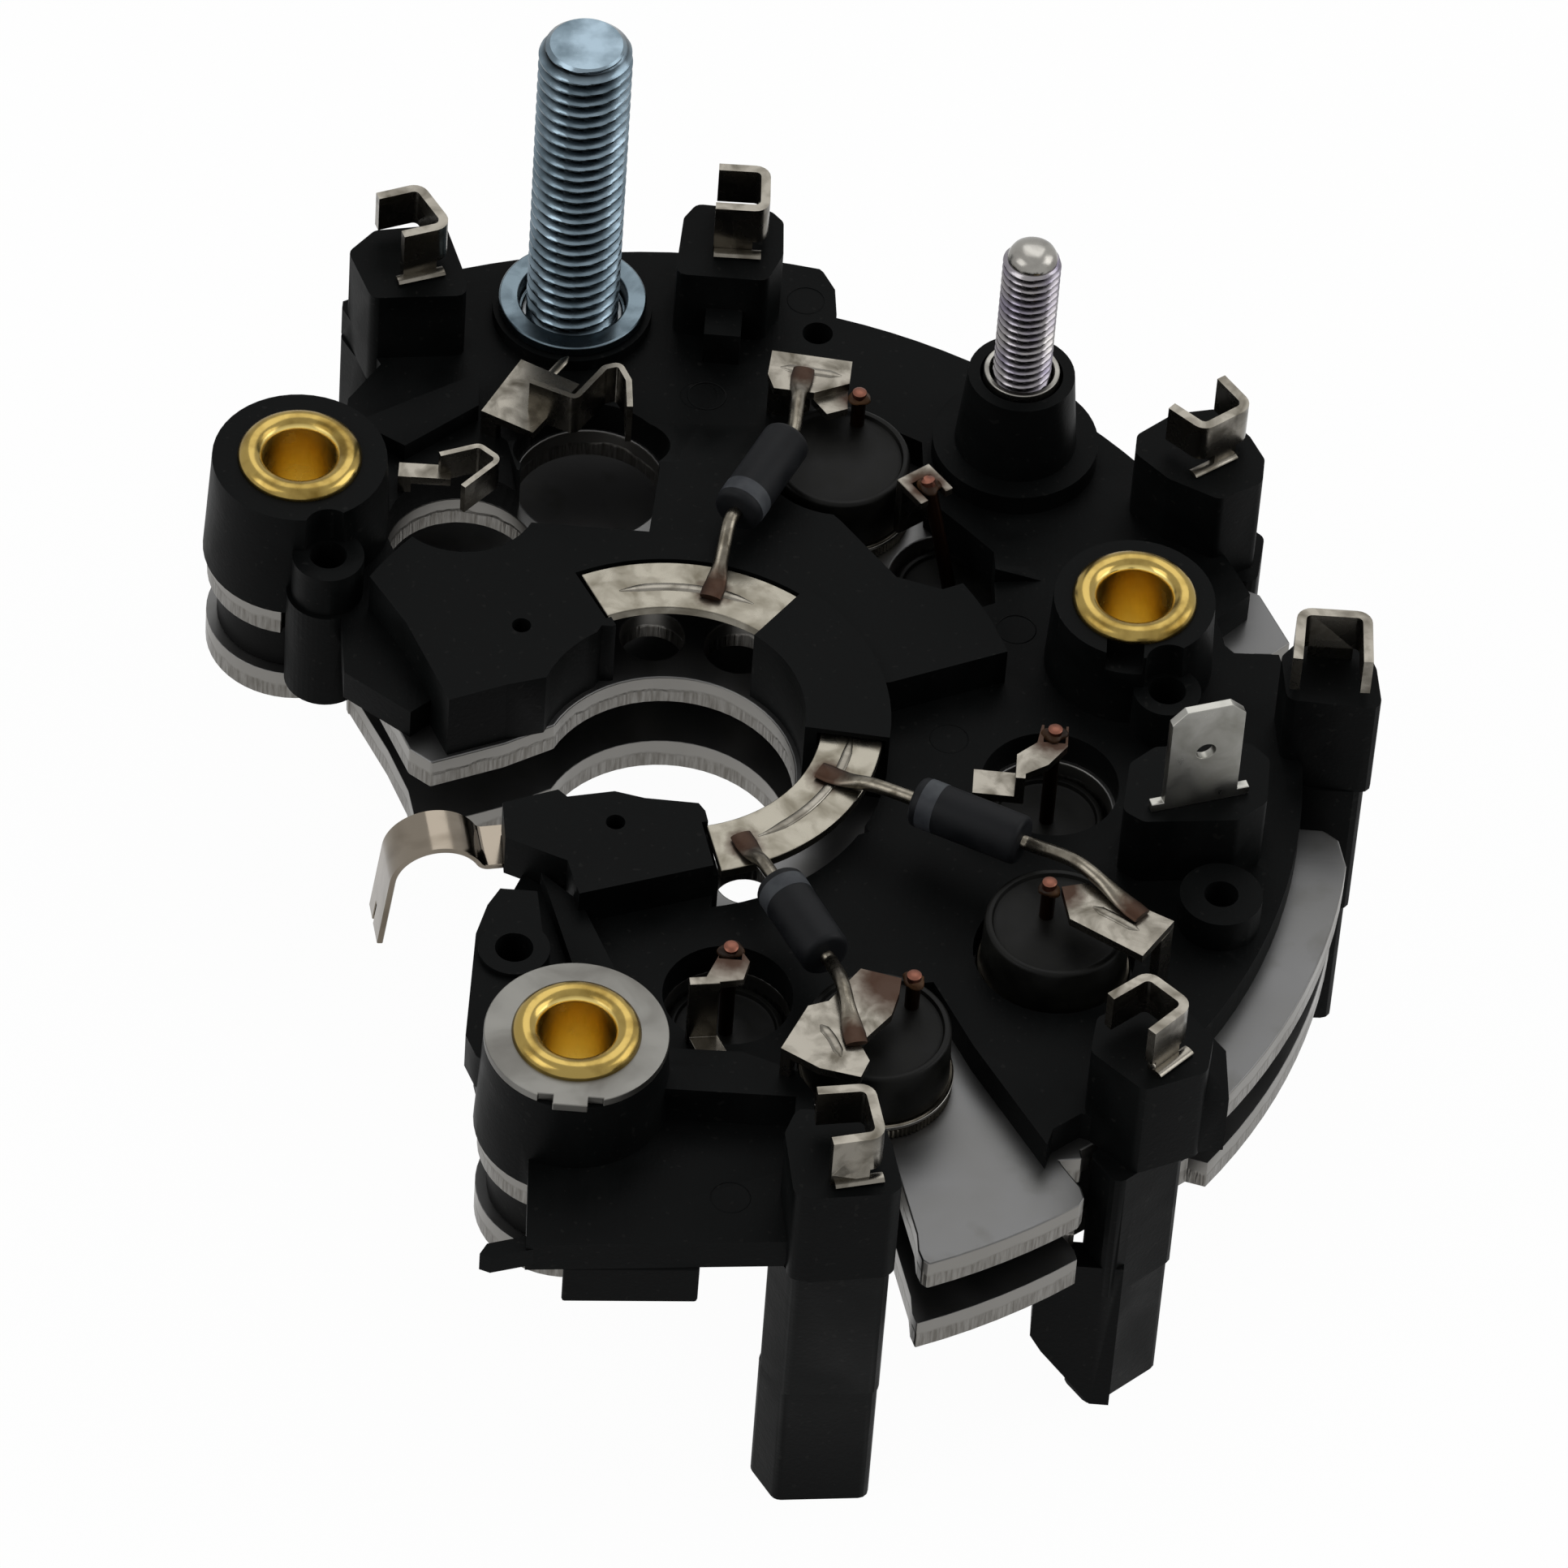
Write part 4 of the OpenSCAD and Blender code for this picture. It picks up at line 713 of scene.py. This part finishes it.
def knurlTree():
    # teeth set round a cup: small wedges instanced on the points of a circle
    tree = bpy.data.node_groups.new("knurlTeeth", "GeometryNodeTree")
    face = tree.interface
    face.new_socket("Geometry", in_out="OUTPUT", socket_type="NodeSocketGeometry")
    face.new_socket("Teeth", in_out="INPUT", socket_type="NodeSocketInt").default_value = 96
    for name, value in (("Radius", 0.006), ("Height", 0.001), ("Width", 0.0002), ("Depth", 0.0002)):
        face.new_socket(name, in_out="INPUT", socket_type="NodeSocketFloat").default_value = value
    face.new_socket("Finish", in_out="INPUT", socket_type="NodeSocketMaterial")
    given = add(tree, "NodeGroupInput").outputs
    ring = add(tree, "GeometryNodeMeshCircle", {"Vertices": given["Teeth"], "Radius": given["Radius"]})
    tooth = add(tree, "GeometryNodeMeshCylinder", {"Vertices": 4, "Radius": given["Width"], "Depth": given["Height"]})
    facing = add(tree, "FunctionNodeAlignEulerToVector", {"Vector": add(tree, "GeometryNodeInputPosition").outputs[0]}, axis="X")
    teeth = add(tree, "GeometryNodeInstanceOnPoints", {
        "Points": ring.outputs[0], "Instance": tooth.outputs["Mesh"], "Rotation": facing.outputs[0]})
    real = add(tree, "GeometryNodeRealizeInstances", {"Geometry": teeth.outputs[0]})
    dressed = add(tree, "GeometryNodeSetMaterial", {"Geometry": real.outputs[0], "Material": given["Finish"]})
    add(tree, "NodeGroupOutput", {0: dressed.outputs[0]})
    return tree


knurlTeeth = knurlTree()


def platedCup(name, at, seat, node, knurled):
    # turned cup: knurled press-fit skirt, rolled rim; its bright line is a separate painted highlight band
    r = diode["seat"]
    base = seat - 3.0
    profile = [(0.0, base), (r - 0.75, base), (r - 0.6, base + 0.15), (r - 0.6, seat), (r - 0.35, seat), (r - 0.2, seat + 0.08),
               (r - 0.2, seat + 1.0), (r - 0.05, seat + 1.1), (r, seat + 1.2), (r, seat + 1.55), (r - 0.12, seat + 1.7),
               (r - 0.3, seat + 1.66), (0.0, seat + 1.62)]
    placed(lathe(name, profile, (at[0], at[1], 0), cupFinish, 96), "diode_cup", node)
    if knurled:
        teeth = fromTree(name + "_knurl", knurlTeeth, {
            "Teeth": 104, "Radius": (r - 0.17) * mm, "Height": 0.95 * mm, "Width": 0.15 * mm, "Finish": cupFinish})
        teeth.data.transform(Matrix.Translation(Vector((at[0], at[1], seat + 0.55)) * mm))
        placed(teeth, "diode_cup")


for side, at in positive.items():
    platedCup("knurled_cup_" + side, at, 10.8, "pos_cup_" + side, True)
    castBody("cast_pos_" + side, at, 10.8, diode["body"], "pos_body_" + side)
    # painted highlight: a thin pale band round the cup rim stands in for the line of light the rim catches
    rim = diode["seat"]
    line = [(rim - 0.06, 12.02), (rim + 0.04, 12.06), (rim + 0.04, 12.32), (rim - 0.06, 12.36)]
    placed(lathe("painted_rim_highlight_" + side, line, (at[0], at[1], 0), tipFinish, 96, closed=True), "diode_cup")
for side, at in negative.items():
    platedCup("pressed_cup_" + side, at, 3.0, "neg_cup_" + side, False)
    castBody("cast_neg_" + side, at, 3.0, diode["lowerBody"], "neg_body_" + side)
print("power diodes done")

# diode leads: round copper wire, cut off above the joint, with a crust of flux round it

leads = {
    "pos_lead_back": ((13.4, 35.4, 17.0), (13.4, 35.4, 21.0), 20.2),
    "pos_lead_right": ((31.6, -18.6, 17.0), (31.6, -18.6, 21.4), 20.4),
    "pos_lead_front": ((21.2, -29.4, 17.0), (21.2, -29.4, 21.0), 20.2),
    "neg_lead_back": ((22.3, 24.0, 9.2), (19.6, 26.2, 20.6), 19.8),
    "neg_lead_right": ((31.4, -1.0, 9.2), (31.4, -1.0, 20.6), 19.8),
    "neg_lead_front": ((6.4, -26.8, 9.2), (6.4, -28.4, 21.6), 20.9),
}
leadWire = 0.6


def lumpy(name, centre, size, material, seed):
    # a blob of flux or solder, uneven like a real one
    bm = bmesh.new()
    bmesh.ops.create_icosphere(bm, subdivisions=3, radius=1.0)
    for v in bm.verts:
        d = v.co.normalized()
        bulge = 1 + 0.16 * math.sin(3.1 * d.x + 2.3 * d.y + seed) + 0.1 * math.sin(5.3 * d.y - 4.1 * d.z + 2 * seed)
        v.co = Vector((d.x * size[0], d.y * size[1], d.z * size[2])) * bulge + Vector(centre)
    mesh = bpy.data.meshes.new(name)
    bm.to_mesh(mesh)
    bm.free()
    mesh.transform(Matrix.Scale(mm, 4))
    mesh.materials.append(material)
    made = bpy.data.objects.new(name, mesh)
    bpy.context.scene.collection.objects.link(made)
    return smoothed(made, 180)


for number, (node, (start, end, joint)) in enumerate(leads.items()):
    a, b = Vector(start), Vector(end)
    line = [a.lerp(b, k / 12) for k in range(12)] + [b - Vector((0, 0, 0.12)), b]
    sizes = [(leadWire, leadWire)] * 13 + [(leadWire * 0.62, leadWire * 0.62)]
    placed(sweep("wire_" + node, line, sizes, cutCopper("cutCopper_" + node, joint), up=(0, 1, 0.02)), "copper", node)
    share = (joint - a.z) / (b.z - a.z)
    placed(lumpy("flux_" + node, a.lerp(b, share), (0.95, 0.85, 0.42), fluxResidue, number), "copper")

# exciter diodes: moulded body with a silver band, wires bent down and flattened on the strips

smallDiodes = {
    "back": {"a": (3.9, 20.6, 20.6), "b": (7.7, 29.2, 20.9), "ring": (2.3, 13.4), "pad": (8.6, 37.6)},
    "right": {"a": (20.5, -8.7, 19.0), "b": (29.3, -12.7, 19.4), "ring": (12.4, -5.0), "pad": (39.2, -21.2)},
    "front": {"a": (9.8, -19.1, 19.0), "b": (14.1, -26.8, 19.4), "ring": (6.4, -12.8), "pad": (17.0, -37.2)},
}
ringLevel, padLevel, smallRadius = 17.4, 20.6, 2.1
for side, part in smallDiodes.items():
    a, b = Vector(part["a"]), Vector(part["b"])
    length = (b - a).length
    r = smallRadius
    profile = [(0.0, 0.0), (r - 0.5, 0.0), (r - 0.2, 0.08), (r - 0.04, 0.3), (r, 0.55), (r, length - 0.55),
               (r - 0.04, length - 0.3), (r - 0.2, length - 0.08), (r - 0.5, length), (0.0, length)]
    placed(lathe("exciter_body_" + side, profile, a, smallEpoxy, 64, axis=b - a), "diode_body", "small_diode_" + side)
    band = [(r - 0.02, 0.75), (r + 0.03, 0.78), (r + 0.03, 2.2), (r - 0.02, 2.23)]
    placed(lathe("exciter_band_" + side, band, a, bandInk, 64, axis=b - a, closed=True), "diode_body")
    wire = platedMetal("tinnedWire_" + side, "#6f6a60", "#443f36", 0.22, cloudSize=1.0, spots=[
        ((part["ring"][0], part["ring"][1], ringLevel + 0.3), 2.0, 3.4), ((part["pad"][0], part["pad"][1], padLevel + 0.3), 1.6, 3.2)])
    for end, away, target, level in (("a", a - b, part["ring"], ringLevel), ("b", b - a, part["pad"], padLevel)):
        start = a if end == "a" else b
        out = away.normalized()
        tip = Vector((target[0], target[1], level + 0.3))
        foot = tip - Vector((tip.x - start.x, tip.y - start.y, 0)).normalized() * 2.2 + Vector((0, 0, 0.12))
        middle = (start + out * 1.1).lerp(foot, 0.5) + Vector((0, 0, 0.25))
        middle.z = max(middle.z, min(foot.z, start.z + 2) + 0.35)
        line = curveThrough([start - out * 0.3, start + out * 1.1, middle, foot, tip], 8)
        sizes = [(0.6, 0.6)] * 5 + [(0.62, 0.58), (0.85, 0.36), (0.95, 0.3), (0.9, 0.28)]
        placed(sweep("exciter_wire_%s_%s" % (side, end), line, sizes, wire), "tinned", *(["small_leads_" + side] if end == "a" else []))
print("leads and exciter diodes done")


# ejector marks, made by one Geometry Nodes tree

def markTree():
    # shallow raised rings on the points of a mesh
    tree = bpy.data.node_groups.new("ejectorMarks", "GeometryNodeTree")
    face = tree.interface
    face.new_socket("Geometry", in_out="OUTPUT", socket_type="NodeSocketGeometry")
    face.new_socket("Geometry", in_out="INPUT", socket_type="NodeSocketGeometry")
    for name, value in (("Radius", 0.0019), ("Line", 0.00009)):
        face.new_socket(name, in_out="INPUT", socket_type="NodeSocketFloat").default_value = value
    face.new_socket("Finish", in_out="INPUT", socket_type="NodeSocketMaterial")
    given = add(tree, "NodeGroupInput").outputs
    path = add(tree, "GeometryNodeCurvePrimitiveCircle", {"Resolution": 24, "Radius": given["Radius"]})
    section = add(tree, "GeometryNodeCurvePrimitiveCircle", {"Resolution": 3, "Radius": given["Line"]})
    ring = add(tree, "GeometryNodeCurveToMesh", {"Curve": path.outputs[0], "Profile Curve": section.outputs[0]})
    marks = add(tree, "GeometryNodeInstanceOnPoints", {"Points": given["Geometry"], "Instance": ring.outputs[0]})
    real = add(tree, "GeometryNodeRealizeInstances", {"Geometry": marks.outputs[0]})
    dressed = add(tree, "GeometryNodeSetMaterial", {"Geometry": real.outputs[0], "Material": given["Finish"]})
    add(tree, "NodeGroupOutput", {0: dressed.outputs[0]})
    return tree


ejector = {
    "radius": 1.6,
    "points": [(13.4, 7.2, 17.5), (27.8, 12.7, 17.5), (8.3, 52.8, 13.8), (-0.1, 40.5, 13.8), (22.9, 3.2, 13.8), (7.9, -48.2, 13.8),
               (0.6, 36.9, 17.5)],
}
marks = meshObject("ejectorMarks", [(x, y, z - 0.02) for x, y, z in ejector["points"]], [], carrierPlastic)
modifier = marks.modifiers.new("Build", "NODES")
modifier.node_group = markTree()
sockets = {s.name: s.identifier for s in modifier.node_group.interface.items_tree if s.in_out == "INPUT"}
modifier[sockets["Radius"]] = ejector["radius"] * mm
modifier[sockets["Line"]] = 0.08 * mm
modifier[sockets["Finish"]] = carrierPlastic
placed(smoothed(baked(marks), 180), "moulding")
print("ejector marks done")

bpy.context.scene.view_settings.view_transform = "Standard"
